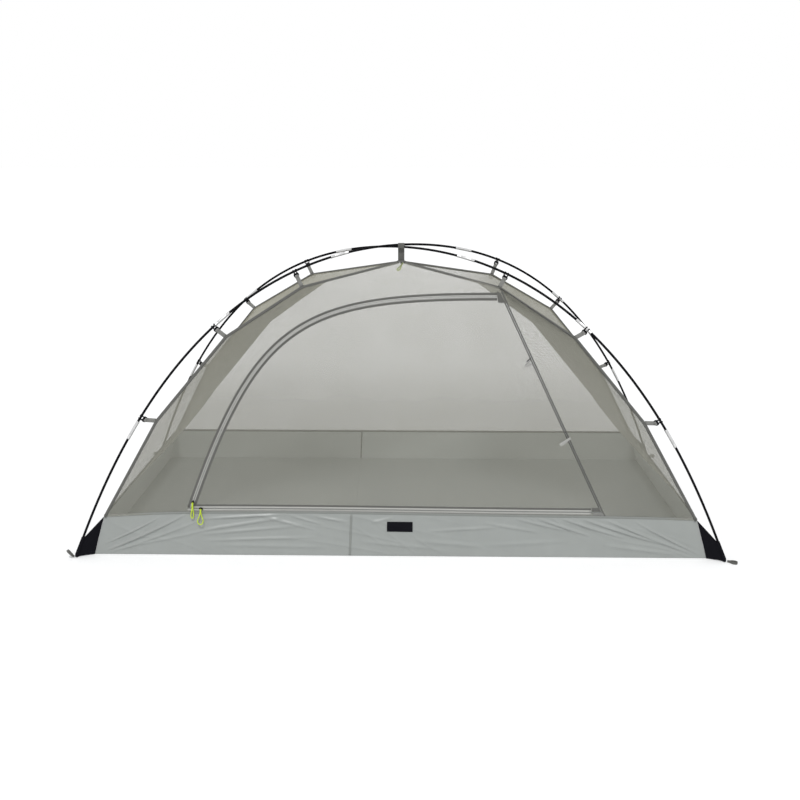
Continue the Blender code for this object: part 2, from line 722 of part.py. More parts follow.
def zip_arc():
    foot = np.array([DOOR_LEFT, DOOR_FOOT])
    top = np.array([DOOR_TOP_X, DOOR_TOP])
    lean = np.array([math.sin(ARC_FOOT_LEAN), math.cos(ARC_FOOT_LEAN)])
    level = np.array([math.cos(ARC_TOP_SLOPE), math.sin(ARC_TOP_SLOPE)])
    first, second = foot + ARC_FOOT_HANDLE * lean, top - ARC_TOP_HANDLE * level
    share = np.linspace(0, 1, ARC_STEPS + 1)[:, None]
    return (
        (1 - share) ** 3 * foot
        + 3 * (1 - share) ** 2 * share * first
        + 3 * (1 - share) * share**2 * second
        + share**3 * top
    )


def door_outline(outwards, foot):
    """The zip's line moved outwards, closed by a foot at this height and a far right side."""
    path = zip_arc()
    along = np.gradient(path, axis=0)
    along /= np.linalg.norm(along, axis=1)[:, None]
    moved = path + outwards * np.stack([-along[:, 1], along[:, 0]], axis=1)
    moved = moved[moved[:, 1] > foot]
    points = [(moved[0][0], foot), *[tuple(point) for point in moved]]
    return [*points, (HALF_LENGTH, moved[-1][1]), (HALF_LENGTH, foot)]


def door_cutter(name, outwards, foot):
    mesh = flat_mesh([door_outline(outwards, foot)], 2 * FLOOR_WIDTH)
    place = frame((0, 0, 0), (1, 0, 0), UP)
    return add_object(name, mesh, place, NETTING, CUTTERS)


def make_nets():
    rows = ROWS_A_SPAN * (len(RIDGE) - 1)
    add_object("net_back", sheet_mesh(PANEL_COLUMNS, rows, back_point, NET_THICKNESS), Matrix(), NETTING)
    for side, name in ((-1, "net_left_end"), (1, "net_right_end")):
        mesh = sheet_mesh(PANEL_COLUMNS, rows, end_point(side), NET_THICKNESS)
        add_object(name, mesh, Matrix(), NETTING)
    side_rows = ROWS_A_SPAN * (len(RIDGE) - 2)
    side_mesh = sheet_mesh(ROWS_A_SPAN, side_rows, side_point, NET_THICKNESS)
    add_object("net_front_side", side_mesh, Matrix(), NETTING)

    # These diagonals keep the door's sheets level under the sliders
    net = sheet_mesh(DOOR_COLUMNS, rows, door_side_point, NET_THICKNESS, 0, "FIXED")
    arch = add_object("net_front_arch", net, Matrix(), NETTING)
    boolean(arch, "DIFFERENCE", door_cutter("arch_cut", ZIP_TAPE_WIDTH + ZIP_GAP, 0))
    leaf = add_moving("door_leaf", net.copy(), hinge_line()[0], NETTING)
    boolean(leaf, "INTERSECT", door_cutter("leaf_cut", -ZIP_GAP, DOOR_FOOT + ZIP_GAP))
    band = sheet_mesh(DOOR_COLUMNS, rows, door_side_point, ZIP_THICKNESS, 0, "FIXED")
    tape = add_object("door_zip_tape", band, Matrix(), WEBBING)
    boolean(tape, "INTERSECT", door_cutter("tape_outer_cut", ZIP_TAPE_WIDTH, 0))
    boolean(tape, "DIFFERENCE", door_cutter("tape_inner_cut", 0, DOOR_FOOT))


# Sliders, pulls and the lantern loop

def lug_mesh():
    """A small plate with a hole along Z for a cord, centred on the hole and reaching back along +Y."""
    hole = (CORD_RADIUS + CORD_PLAY) / math.cos(math.pi / RING_STEPS)
    head = arc(LUG_RADIUS, math.pi / 2, math.pi * 3 / 2, RING_STEPS // 2)
    outline = [*head, (-LUG_RADIUS, LUG_REACH), (LUG_RADIUS, LUG_REACH)]
    return flat_mesh([outline, ring(hole)], LUG_THICKNESS)


def slider_path(which):
    """A slider's middle on the zip, its direction of travel and the surface's outward normal."""
    path = zip_arc()
    along = path[1] - path[0] if which == "arc_slider" else np.array([1, 0])
    along = along / np.linalg.norm(along)
    stops = [SLIDER_STARTS[which], SLIDER_STARTS[which] + SLIDER_LENGTH]
    line = [path[0] + stop * along for stop in stops]
    start, end = [surface_at(*place) for place in line]
    travel = (end - start).normalized()
    nearby = surface_at(line[0][0] - travel.z * SLIDER_WIDTH, line[0][1] + travel.x * SLIDER_WIDTH)
    normal = travel.cross(nearby - start).normalized()
    return start, travel, normal if normal.y < 0 else -normal


def slider_stand():
    return ZIP_THICKNESS / 2 + CLEARANCE + SLIDER_THICKNESS / 2


def pull_hole(which):
    start, _, normal = slider_path(which)
    forward = Vector((0, -1, 0))
    return start + normal * slider_stand() + forward * (SLIDER_THICKNESS / 2 + LUG_REACH - SLIDER_BEVEL)


def lantern_hole():
    low = NET_HEIGHT - TOP_PATCH_THICKNESS + TAPE_THICKNESS
    return Vector((0, 0, low - LUG_REACH + TAPE_THICKNESS))


def make_sliders():
    for which in SLIDER_STARTS:
        start, travel, normal = slider_path(which)
        shape = bmesh.new()
        bmesh.ops.create_cube(shape, size=1)
        bmesh.ops.scale(shape, vec=(SLIDER_LENGTH, SLIDER_WIDTH, SLIDER_THICKNESS), verts=shape.verts)
        bmesh.ops.bevel(shape, geom=shape.edges, offset=SLIDER_BEVEL, segments=1, affect="EDGES")
        body = bpy.data.meshes.new("slider")
        shape.to_mesh(body)
        shape.free()
        place = frame(start + normal * slider_stand(), travel, normal.cross(travel))
        lug_place = frame(pull_hole(which), (0, 0, 1), (0, 1, 0))
        mesh = joined(which, [(body, place), (lug_mesh(), lug_place)], BLACK_PLASTIC)
        add_moving(which, mesh, start, BLACK_PLASTIC)


def make_cord_loop(name, hole, length, tilt=0):
    """A closed loop of cord that runs through a hole along X and hangs down, tilted out to the front."""
    radius = CORD_LOOP_WIDTH / 2
    upper = arc(radius, -math.pi / 2, math.pi / 2, RING_STEPS // 2)
    lower = arc(radius, math.pi / 2, math.pi * 3 / 2, RING_STEPS // 2)
    path = [(x, 0, y - radius) for x, y in upper]
    path += [(x, 0, y - length + radius) for x, y in lower]
    place = Matrix.Translation(hole) @ Matrix.Rotation(-tilt, 4, "X")
    add_object(name, rod_mesh(path, CORD_RADIUS, True), place, LIME_CORD)


make_poles()
make_clips()
make_floor()
for corner_name in CORNERS:
    make_gusset(corner_name)
make_loops()
make_nets()
make_seam_tapes()
make_sliders()
for slider_name in SLIDER_STARTS:
    make_cord_loop(f"{slider_name}_pull", pull_hole(slider_name), PULL_LENGTH, PULL_TILT)
make_cord_loop("lantern_loop", lantern_hole(), LANTERN_LENGTH)

print("foot reach", round(FOOT, 4), "pole lengths", [round(pole.length, 3) for pole in POLES.values()])
print("hinge", [tuple(round(value, 4) for value in point) for point in hinge_line()])
for slider_name in SLIDER_STARTS:
    rows = (*slider_path(slider_name), pull_hole(slider_name))
    print(slider_name, [tuple(round(value, 4) for value in row) for row in rows])
print("lantern hole", tuple(round(value, 4) for value in lantern_hole()), "loop root", loop_root())
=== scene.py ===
# %% [markdown]
# # A mosquito net tent
# A low net tent for one or two sleepers: two long poles cross over it, a net hangs from them by clips,
# and a ground sheet folded up like a bathtub closes it at the foot. Everything here is built round the
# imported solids, which stay where they are. Lengths are metres, +Z is up and -Y is the front.

import json
import math

import bpy
import numpy as np
from mathutils.geometry import delaunay_2d_cdt
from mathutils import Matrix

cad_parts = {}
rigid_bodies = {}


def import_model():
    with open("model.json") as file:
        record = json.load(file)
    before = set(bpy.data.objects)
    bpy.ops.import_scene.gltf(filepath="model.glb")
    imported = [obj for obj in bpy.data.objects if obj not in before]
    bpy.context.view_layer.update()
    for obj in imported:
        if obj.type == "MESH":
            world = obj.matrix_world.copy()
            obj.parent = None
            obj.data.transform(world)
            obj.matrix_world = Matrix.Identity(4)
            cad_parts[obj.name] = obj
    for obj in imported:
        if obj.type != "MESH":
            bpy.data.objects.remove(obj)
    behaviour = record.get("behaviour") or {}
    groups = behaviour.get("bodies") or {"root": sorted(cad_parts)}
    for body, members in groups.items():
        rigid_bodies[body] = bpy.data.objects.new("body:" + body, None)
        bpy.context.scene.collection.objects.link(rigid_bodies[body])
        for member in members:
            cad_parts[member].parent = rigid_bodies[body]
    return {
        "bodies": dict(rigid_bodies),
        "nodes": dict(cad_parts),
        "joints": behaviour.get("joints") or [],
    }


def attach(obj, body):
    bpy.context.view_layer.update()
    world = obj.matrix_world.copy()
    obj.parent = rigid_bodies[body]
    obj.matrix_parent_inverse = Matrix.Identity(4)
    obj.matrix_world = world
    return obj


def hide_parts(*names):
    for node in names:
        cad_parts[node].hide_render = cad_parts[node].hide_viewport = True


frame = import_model()
for thing in list(bpy.data.objects):
    if thing not in frame["nodes"].values() and thing not in frame["bodies"].values():
        bpy.data.objects.remove(thing)
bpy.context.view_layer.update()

# %% [markdown]
# ## The main lines
# The solids follow a few lines: the bent poles, the ridge seams between net panels, the wall's top and the
# door's zip. Writing the same lines once, as small functions, lets every finer piece lie on them. Reading
# points off the solids would work too, but a formula can be sampled as finely as a piece needs.

# %% Sizes shared with the solids
FLOOR_LENGTH, FLOOR_WIDTH, WALL_HEIGHT, WALL_LEAN = 2.15, 1.03, 0.134, 0.038
POLE_HEIGHT, NET_DROP, FOOT_REACH, FOOT_LIFT = 1.024, 0.053, 0.0607, 0.006
POLE_RADIUS, CLEARANCE, FERRULE_LENGTH, FERRULE_RADIUS = 0.004, 0.0003, 0.07, 0.00543
NET_HEIGHT = POLE_HEIGHT - NET_DROP
HALF_LENGTH, HALF_WIDTH = FLOOR_LENGTH / 2, FLOOR_WIDTH / 2
DIAGONAL = np.array([FLOOR_LENGTH, FLOOR_WIDTH, 0]) / math.hypot(FLOOR_LENGTH, FLOOR_WIDTH)
TOP_SCALE = 1 - 2 * WALL_LEAN / FLOOR_LENGTH
WALL_TOP_X, WALL_TOP_Y = HALF_LENGTH * TOP_SCALE, HALF_WIDTH * TOP_SCALE
CORNER_REACH = math.hypot(HALF_LENGTH, HALF_WIDTH)
FOOT = CORNER_REACH + FOOT_REACH
UP = np.array([0.0, 0.0, 1.0])
CORNERS = {"front_left": (-1, -1), "front_right": (1, -1), "back_left": (-1, 1), "back_right": (1, 1)}
CROWNS = {1: POLE_HEIGHT + 2 * POLE_RADIUS + CLEARANCE, -1: POLE_HEIGHT}
POLE_NAMES = {1: "upper_pole", -1: "lower_pole"}
RIDGE = [(math.hypot(WALL_TOP_X, WALL_TOP_Y), WALL_HEIGHT)]
RIDGE_SHARES = ((0.7562, 0.475), (0.5472, 0.762), (0.317, 0.926))
RIDGE += [(reach * FOOT, height * NET_HEIGHT) for reach, height in RIDGE_SHARES]
RIDGE += [(0, NET_HEIGHT)]
NET_START = 0.1351
print("ridge seam", [tuple(round(value, 4) for value in point) for point in RIDGE])


def unit(vector):
    """The vector, or each row of vectors, at length 1."""
    vector = np.asarray(vector, float)
    return vector / np.linalg.norm(vector, axis=-1, keepdims=True)


def on_diagonal(corner, reach, height, aside=0.0):
    """A point over a floor diagonal: reach from the middle, height, and distance to one side of it."""
    right, back = CORNERS[corner]
    out = np.array([right * DIAGONAL[0], back * DIAGONAL[1], 0])
    return reach * out + height * UP + aside * np.cross(out, UP)

# %% [markdown]
# ## From points to a piece
# Nearly every piece here is one of two things: a section carried along a line (poles, tapes, cords) or a
# sheet laid over a surface (net, ground sheet). Blender's curve and skin tools can do the first, but carrying
# the section in our own code also gives each face a flat coordinate in metres, which the weave needs.

# %% A shape that gathers points, faces and flat coordinates
class Shape:
    def __init__(self):
        self.points, self.faces, self.flat = [], [], []

    def add(self, points, faces, flat):
        start = len(self.points)
        self.points += [tuple(point) for point in points]
        self.faces += [tuple(start + index for index in face) for face in faces]
        self.flat += flat
        return self

    def make(self, name, body, finish, slot=None, nodes=()):
        """The piece, riding on its body."""
        mesh = bpy.data.meshes.new(name)
        mesh.from_pydata(self.points, [], self.faces)
        layer = mesh.uv_layers.new(name="metres")
        layer.data.foreach_set("uv", np.array([uv for face in self.flat for uv in face], np.float32).ravel())
        mesh.materials.append(finish)
        mesh.polygons.foreach_set("use_smooth", [True] * len(self.faces))
        mesh.update()
        mesh.validate()
        piece = bpy.data.objects.new(name, mesh)
        bpy.context.scene.collection.objects.link(piece)
        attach(piece, body)
        if nodes:
            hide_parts(*nodes)
        return piece


def skin(rings, closed=False):
    """Faces between rings of points, each ring closed, with flat coordinates, and a face over each end."""
    rings = np.asarray(rings, float)
    turns, count = rings.shape[:2]
    loops = np.concatenate([rings, rings[:, :1]], 1)
    around = np.concatenate([[0], np.cumsum(np.linalg.norm(np.diff(loops, axis=1), axis=2).mean(0))])
    middles = np.concatenate([rings, rings[:1]]).mean(1)
    along = np.concatenate([[0], np.cumsum(np.linalg.norm(np.diff(middles, axis=0), axis=1))])
    faces, flat = [], []
    for i in range(turns if closed else turns - 1):
        low, high = i * count, (i + 1) % turns * count
        for j in range(count):
            k = (j + 1) % count
            faces.append((low + j, low + k, high + k, high + j))
            flat.append([(around[j], along[i]), (around[j + 1], along[i]),
                         (around[j + 1], along[i + 1]), (around[j], along[i + 1])])
    if not closed:
        last = (turns - 1) * count
        ends = [tuple(reversed(range(count))), tuple(range(last, last + count))]
        points = rings.reshape(-1, 3)
        faces += ends
        flat += [[(points[spot][0] + points[spot][1], points[spot][2]) for spot in face] for face in ends]
    return rings.reshape(-1, 3), faces, flat


def sweep(path, section, side, scales=None, closed=False):
    """A section carried along a path. side is where its first axis points, one vector or one a point."""
    path, section = np.asarray(path, float), np.asarray(section, float)
    ahead = np.roll(path, -1, 0) - np.roll(path, 1, 0)
    if not closed:
        ahead[0], ahead[-1] = path[1] - path[0], path[-1] - path[-2]
    ahead = unit(ahead)
    side = np.broadcast_to(np.asarray(side, float), path.shape)
    side = unit(side - (side * ahead).sum(1, keepdims=True) * ahead)
    above = np.cross(ahead, side)
    scales = np.ones(len(path)) if scales is None else np.asarray(scales, float)
    if scales.ndim == 1:
        scales = np.stack([scales, scales], 1)
    across = section[None, :, 0, None] * scales[:, None, :1] * side[:, None]
    rising = section[None, :, 1, None] * scales[:, None, 1:] * above[:, None]
    return skin(path[:, None] + across + rising, closed)


def grid(place, columns, rows, width, height):
    """A sheet over a surface: place(across, up) gives its points, both from 0 to 1."""
    spots = [(a, b) for b in np.linspace(0, 1, rows + 1) for a in np.linspace(0, 1, columns + 1)]
    points = [place(a, b) for a, b in spots]
    faces, flat = [], []
    for row in range(rows):
        for column in range(columns):
            low = row * (columns + 1) + column
            face = (low, low + 1, low + columns + 2, low + columns + 1)
            faces.append(face)
            flat.append([(spots[index][0] * width, spots[index][1] * height) for index in face])
    return points, faces, flat


def circle(radius, count):
    angles = np.linspace(0, 2 * math.pi, count, endpoint=False)
    return np.stack([radius * np.cos(angles), radius * np.sin(angles)], 1)


ROUNDEST = 2.001


def rounded(width, height, radius, steps=3):
    """A rectangle with rounded corners, for bands, plates and hooks. Their radius stays a hair under half of
    either side, so that no two points fall together."""
    radius = min(radius, width / ROUNDEST, height / ROUNDEST)
    spots = []
    for quarter, (x, y) in enumerate(((1, 1), (-1, 1), (-1, -1), (1, -1))):
        for angle in np.linspace(quarter, quarter + 1, steps + 1) * math.pi / 2:
            spots.append((x * (width / 2 - radius) + radius * math.cos(angle),
                          y * (height / 2 - radius) + radius * math.sin(angle)))
    return np.array(spots)


def smooth_path(points, count, closed=False):
    """A soft curve through every point, its samples shared evenly between the gaps."""
    points = np.asarray(points, float)
    if closed:
        padded = np.vstack([points[-1:], points, points[:2]])
    else:
        padded = np.vstack([2 * points[0] - points[1], points, 2 * points[-1] - points[-2]])
    spans = len(padded) - 3
    made = []
    for place in np.linspace(0, spans, count, endpoint=not closed):
        i = min(int(place), spans - 1)
        t = place - i
        a, b, c, d = padded[i:i + 4]
        made.append(((2 * b) + (c - a) * t + (2 * a - 5 * b + 4 * c - d) * t**2
                     + (3 * b - a - 3 * c + d) * t**3) / 2)
    return np.array(made)

# %% [markdown]
# ## Finishes
# Each finish starts as one shader with its plain numbers set on it, and procedural nodes add what the real
# stuff shows: threads, ribs, moulding grain, wear. The flat coordinate in metres sizes every pattern, so a
# thread is a thread's width on every piece. A painted image could do this, but it blurs close up.

# %% Helpers for finishes
def new_finish(name, colour, roughness, **sockets):
    finish = bpy.data.materials.new(name)
    finish.use_nodes = True
    shader = finish.node_tree.nodes["Principled BSDF"]
    shader.inputs["Base Color"].default_value = (*colour, 1)
    shader.inputs["Roughness"].default_value = roughness
    for socket, value in sockets.items():
        shader.inputs[socket.replace("_", " ")].default_value = value
    return finish


def add_node(finish, kind, inputs=None, **settings):
    """A node with its settings, its plain inputs set and its linked ones joined."""
    node = finish.node_tree.nodes.new("ShaderNode" + kind)
    for setting, value in settings.items():
        setattr(node, setting, value)
    for key, value in (inputs or {}).items():
        if isinstance(value, bpy.types.NodeSocket):
            finish.node_tree.links.new(value, node.inputs[key])
        else:
            node.inputs[key].default_value = value
    return node


def to_shader(finish, socket, source):
    finish.node_tree.links.new(source, finish.node_tree.nodes["Principled BSDF"].inputs[socket])


def metres(finish, turn=0.0, stretch=(1, 1, 1)):
    """The flat coordinate, turned or stretched."""
    flat = add_node(finish, "TexCoord").outputs["UV"]
    inputs = {"Vector": flat, "Rotation": (0, 0, turn), "Scale": stretch}
    return add_node(finish, "Mapping", inputs).outputs["Vector"]


def ribs(finish, coordinate, pitch, direction="X"):
    """Even ribs of this pitch, as a number from 0 to 1."""
    inputs = {"Vector": coordinate, "Scale": math.pi / 10 / pitch}
    return add_node(finish, "TexWave", inputs, bands_direction=direction).outputs["Fac"]


def noise(finish, coordinate, size, detail=3.0):
    inputs = {"Vector": coordinate, "Scale": 1 / size, "Detail": detail}
    return add_node(finish, "TexNoise", inputs).outputs["Fac"]


def calc(finish, operation, first, second):
    return add_node(finish, "Math", {0: first, 1: second}, operation=operation).outputs[0]


def spread(finish, value, low, high, from_low=0.0, from_high=1.0):
    inputs = {"Value": value, "From Min": from_low, "From Max": from_high, "To Min": low, "To Max": high}
    return add_node(finish, "MapRange", inputs).outputs["Result"]


def colour_between(finish, value, dark, light):
    """Paints the base colour from dark to light by a number from 0 to 1."""
    mix = add_node(finish, "Mix", {"Factor": value}, data_type="RGBA")
    mix.inputs[6].default_value, mix.inputs[7].default_value = (*dark, 1), (*light, 1)
    to_shader(finish, "Base Color", mix.outputs[2])


def bump(finish, height, distance):
    inputs = {"Height": height, "Distance": distance}
    to_shader(finish, "Normal", add_node(finish, "Bump", inputs).outputs["Normal"])


SOIL_SIZE, THREAD_SHARE, WEAR = 0.06, 0.35, 0.07


def woven(name, dark, light, roughness, pitch, relief, **sockets):
    """Cloth or webbing: ribs both ways, a little uneven, with soiled and worn patches."""
    finish = new_finish(name, light, roughness, **sockets)
    flat = metres(finish)
    warp, weft = ribs(finish, flat, pitch), ribs(finish, flat, pitch, "Y")
    threads = calc(finish, "MAXIMUM", warp, weft)
    patches = noise(finish, flat, SOIL_SIZE)
    by_thread = calc(finish, "MULTIPLY", threads, THREAD_SHARE)
    by_patch = calc(finish, "MULTIPLY", patches, 1 - THREAD_SHARE)
    colour_between(finish, calc(finish, "ADD", by_thread, by_patch), dark, light)
    to_shader(finish, "Roughness", spread(finish, patches, roughness - WEAR, roughness + WEAR))
    bump(finish, threads, relief)
    return finish

# %% [markdown]
# ### Netting
# Mosquito netting is a knit of fine thread with holes a little over a millimetre wide. Modelling each hole
# would take millions of faces, so the sheet is plain and the knit is in how much it hides: a regular grid of
# round holes, softened because a thread is round and shines. The end panels are seen at a slant, where a
# knit closes up, so they are given a denser one, and darker colours as painted shade, the right end darkest.

# %% Netting
NET_PITCH, HOLE_EDGE, THREAD_EDGE, THREAD_RELIEF = 0.0013, 0.3, 0.55, 0.0002
SLACK_SIZE, SLACK, TINT_SIZE = 0.25, 0.05, 0.4
FOOT_STRETCH, TOP_STRETCH, CROWN_STRETCH = (0.1, 0.27), (0.0, 0.9), (0.85, 1.1)


def netting(name, hole, thread, dark, light, foot=0.0, top=0.0, crown=0.0):
    """hole and thread are how much the sheet hides between the threads and on them. It hides foot more
    at its lower edge and top and crown more towards its upper one, over the stretches in metres above."""
    finish = new_finish(name, light, roughness=0.85, Sheen_Weight=0.2, Sheen_Roughness=0.5,
                        Specular_IOR_Level=0.25)
    flat = metres(finish, turn=math.radians(45))
    inputs = {"Vector": flat, "Scale": 1 / NET_PITCH, "Randomness": 0.0}
    cells = add_node(finish, "TexVoronoi", inputs, voronoi_dimensions="2D").outputs["Distance"]
    threads = spread(finish, cells, 0.0, 1.0, HOLE_EDGE, THREAD_EDGE)
    slack = noise(finish, metres(finish), SLACK_SIZE, detail=2.0)
    cover = calc(finish, "ADD", spread(finish, threads, hole, thread), spread(finish, slack, -SLACK, SLACK))
    height = add_node(finish, "SeparateXYZ", {"Vector": metres(finish)}).outputs["Y"]
    fades = ((foot, 0.0, FOOT_STRETCH), (0.0, top, TOP_STRETCH), (0.0, crown, CROWN_STRETCH))
    for low, high, stretch in fades:
        cover = calc(finish, "ADD", cover, spread(finish, height, low, high, *stretch))
    to_shader(finish, "Alpha", cover)
    colour_between(finish, noise(finish, metres(finish), TINT_SIZE, detail=2.0), dark, light)
    bump(finish, threads, THREAD_RELIEF)
    return finish


NET = netting("grey_net", hole=0.26, thread=0.62, dark=(0.325, 0.323, 0.277), light=(0.385, 0.382, 0.328))
BACK_NET = netting("grey_net_back", hole=0.41, thread=0.77, dark=(0.34, 0.33, 0.26), light=(0.4, 0.39, 0.31),
                   foot=0.13, top=-0.2)
# The end panels are darker copies of the netting's colour, painted shade, and the right one is darker still.
LEFT_NET_SHADED = netting("grey_net_left_painted_shade", hole=0.48, thread=0.8, dark=(0.25, 0.243, 0.18), light=(0.31, 0.3, 0.23),
                   foot=0.03, top=0.27, crown=-0.2)
RIGHT_NET_SHADED = netting("grey_net_right_painted_shade", hole=0.48, thread=0.8, dark=(0.225, 0.22, 0.165),
                    light=(0.28, 0.272, 0.21), foot=0.03, top=0.24, crown=-0.5)
print("nettings", [finish.name for finish in (NET, BACK_NET, LEFT_NET_SHADED, RIGHT_NET_SHADED)])

# %% [markdown]
# ### Ground sheet, webbing, black cloth, plastic, poles, ferrules and cord
# The ground sheet is coated polyester with a soft gleam, so its roughness is middling and its weave shallow.
# Webbing is ribbed across. Pole tubes are glass fibre with drawn streaks, ferrules are turned aluminium with
# rubbed rings, and the cord is braided from two twists.

# %% Cloth and webbing
GROUND = woven("grey_ground_sheet", dark=(0.265, 0.28, 0.268), light=(0.325, 0.342, 0.33), roughness=0.32,
               pitch=0.0006, relief=0.00005, Sheen_Weight=0.2, Sheen_Roughness=0.4)
# The inside of the walls is the ground sheet's colour made about twice as light: painted light for the light
# inside the tent.
LIT_INSIDE = woven("inside_painted_light", dark=(0.58, 0.6, 0.58), light=(0.655, 0.678, 0.655), roughness=0.4,
               pitch=0.0006, relief=0.00005, Sheen_Weight=0.2, Sheen_Roughness=0.4)
# The seam cloth is the ground sheet's colour made about a quarter darker: painted shade.
SHADED_SEAM_CLOTH = woven("grey_seam_cloth_painted_shade", dark=(0.19, 0.2, 0.188), light=(0.245, 0.258, 0.243), roughness=0.5,
                   pitch=0.0006, relief=0.00005)
DARK_TAPE = woven("dark_grey_tape", dark=(0.09, 0.09, 0.083), light=(0.135, 0.135, 0.125), roughness=0.8,
                  pitch=0.001, relief=0.0003)
GREY_STRAP = woven("grey_strap", dark=(0.19, 0.19, 0.18), light=(0.28, 0.28, 0.265), roughness=0.75,
                   pitch=0.0016, relief=0.0004)
LIGHT_TAPE = woven("light_zip_tape", dark=(0.36, 0.36, 0.34), light=(0.46, 0.46, 0.435), roughness=0.7,
                   pitch=0.0008, relief=0.0002)
BLACK_CLOTH = woven("black_cloth", dark=(0.004, 0.004, 0.006), light=(0.011, 0.011, 0.014), roughness=0.8,
                    pitch=0.0009, relief=0.0002, Specular_IOR_Level=0.04)
print("ground sheet", GROUND.name, "with inside", LIT_INSIDE.name)

# %% Glass fibre, aluminium, plastic and cord
def pole_finish():
    finish = new_finish("black_glass_fibre", (0.005, 0.005, 0.006), roughness=0.4, Specular_IOR_Level=0.03)
    flat = metres(finish, stretch=(1, 0.04, 1))
    streaks = noise(finish, flat, size=0.0012, detail=4.0)
    rubbed = noise(finish, metres(finish), size=0.05, detail=4.0)
    colour_between(finish, streaks, (0.003, 0.003, 0.004), (0.009, 0.009, 0.01))
    to_shader(finish, "Roughness", spread(finish, rubbed, low=0.3, high=0.55))
    bump(finish, streaks, distance=0.00006)
    return finish


def ferrule_finish():
    finish = new_finish("turned_aluminium", (0.78, 0.78, 0.78), roughness=0.3, Metallic=1.0)
    rings = noise(finish, metres(finish, stretch=(0.02, 1, 1)), size=0.0006, detail=3.0)
    scuffs = noise(finish, metres(finish), size=0.008, detail=5.0)
    colour_between(finish, scuffs, (0.5, 0.5, 0.5), (0.74, 0.74, 0.74))
    to_shader(finish, "Roughness", spread(finish, scuffs, low=0.22, high=0.48))
    bump(finish, rings, distance=0.00004)
    return finish


def plastic_finish(name, dark, light):
    finish = new_finish(name, light, roughness=0.5, Specular_IOR_Level=0.05)
    grain = noise(finish, metres(finish), size=0.0005, detail=2.0)
    scuffs = noise(finish, metres(finish), size=0.01, detail=4.0)
    colour_between(finish, scuffs, dark, light)
    to_shader(finish, "Roughness", spread(finish, scuffs, low=0.34, high=0.55))
    bump(finish, grain, distance=0.00005)
    return finish


def cord_finish():
    finish = new_finish("lime_cord", (0.55, 0.7, 0.03), roughness=0.6)
    twist, strand = math.radians(40), 0.0007
    over, under = [ribs(finish, metres(finish, turn=turn), strand) for turn in (twist, -twist)]
    braid = calc(finish, "MAXIMUM", over, under)
    colour_between(finish, braid, (0.32, 0.45, 0.015), (0.6, 0.76, 0.04))
    to_shader(finish, "Roughness", spread(finish, braid, low=0.7, high=0.5))
    bump(finish, braid, distance=0.0002)
    return finish


FIBRE, ALUMINIUM, LIME = pole_finish(), ferrule_finish(), cord_finish()
PLASTIC = plastic_finish("black_moulded_plastic", dark=(0.004, 0.004, 0.005), light=(0.012, 0.012, 0.013))
GREY_PLASTIC = plastic_finish("grey_moulded_plastic", dark=(0.12, 0.12, 0.112), light=(0.18, 0.18, 0.17))
print("finishes", sorted(finish.name for finish in bpy.data.materials))

# %% [markdown]
# ## Poles
# Each pole is seven glass fibre tubes joined by six ferrules, bent over the tent in one arch. The height
# falls with powers of the reach, fastest near the feet. A tube is a round section carried along its own
# stretch of that arch, with a point every centimetre so that the bend is smooth.

# %% The arch and its lengths
POLE_SHAPE = {2: 0.618, 4: 0.356, 10: 0.026}
JOINT_SHARES = (0.141, 0.2843, 0.4278, 0.5773, 0.7228, 0.8651)


def pole_height(reach, crown):
    fall = sum(part * (reach / FOOT) ** power for power, part in POLE_SHAPE.items())
    return FOOT_LIFT + (crown - FOOT_LIFT) * (1 - fall)


def pole_slope(reach, crown):
    steep = sum(part * power * (reach / FOOT) ** (power - 1) for power, part in POLE_SHAPE.items())
    return -(crown - FOOT_LIFT) * steep / FOOT


class Arch:
    """Reach from one foot to the other against length along the pole."""

    def __init__(self, back):
        self.back, self.crown = back, CROWNS[back]
        self.reaches = np.linspace(-FOOT, FOOT, 4001)
        heights = pole_height(self.reaches, self.crown)
        steps = np.hypot(np.diff(self.reaches), np.diff(heights))
        self.lengths = np.concatenate([[0], np.cumsum(steps)])
        self.joints = [share * self.lengths[-1] for share in JOINT_SHARES]

    def path(self, start, end, step=0.01):
        spots = np.linspace(start, end, max(3, round((end - start) / step)))
        reaches = np.interp(spots, self.lengths, self.reaches)
        out = np.array([DIAGONAL[0], self.back * DIAGONAL[1], 0])
        return reaches[:, None] * out + pole_height(reaches, self.crown)[:, None] * UP

    def aside(self):
        return np.cross([DIAGONAL[0], self.back * DIAGONAL[1], 0], UP)


ARCHES = {back: Arch(back) for back in (1, -1)}

# %% Tubes and ferrules
TUBE_RADIUS = 0.0043
FERRULE_PROFILE = [(0, 0.76), (0.0001, 0.98), (0.0008, 1.06), (0.002, 1.06), (0.0028, 1.0), (0.014, 1.0),
                   (0.0148, 0.95), (0.0162, 0.95), (0.017, 1.0), (0.035, 1.0)]


def ferrule_shape(arch, joint):
    """A sleeve with a rolled rim at each end and a pressed ring near it."""
    half = FERRULE_LENGTH / 2
    left = [(at - half, scale) for at, scale in FERRULE_PROFILE]
    stops = left + [(-at, scale) for at, scale in reversed(left[:-1])]
    at = joint + np.array([stop for stop, _ in stops])
    reaches = np.interp(at, arch.lengths, arch.reaches)
    out = np.array([DIAGONAL[0], arch.back * DIAGONAL[1], 0])
    path = reaches[:, None] * out + pole_height(reaches, arch.crown)[:, None] * UP
    return sweep(path, circle(FERRULE_RADIUS, 20), arch.aside(), [scale for _, scale in stops])


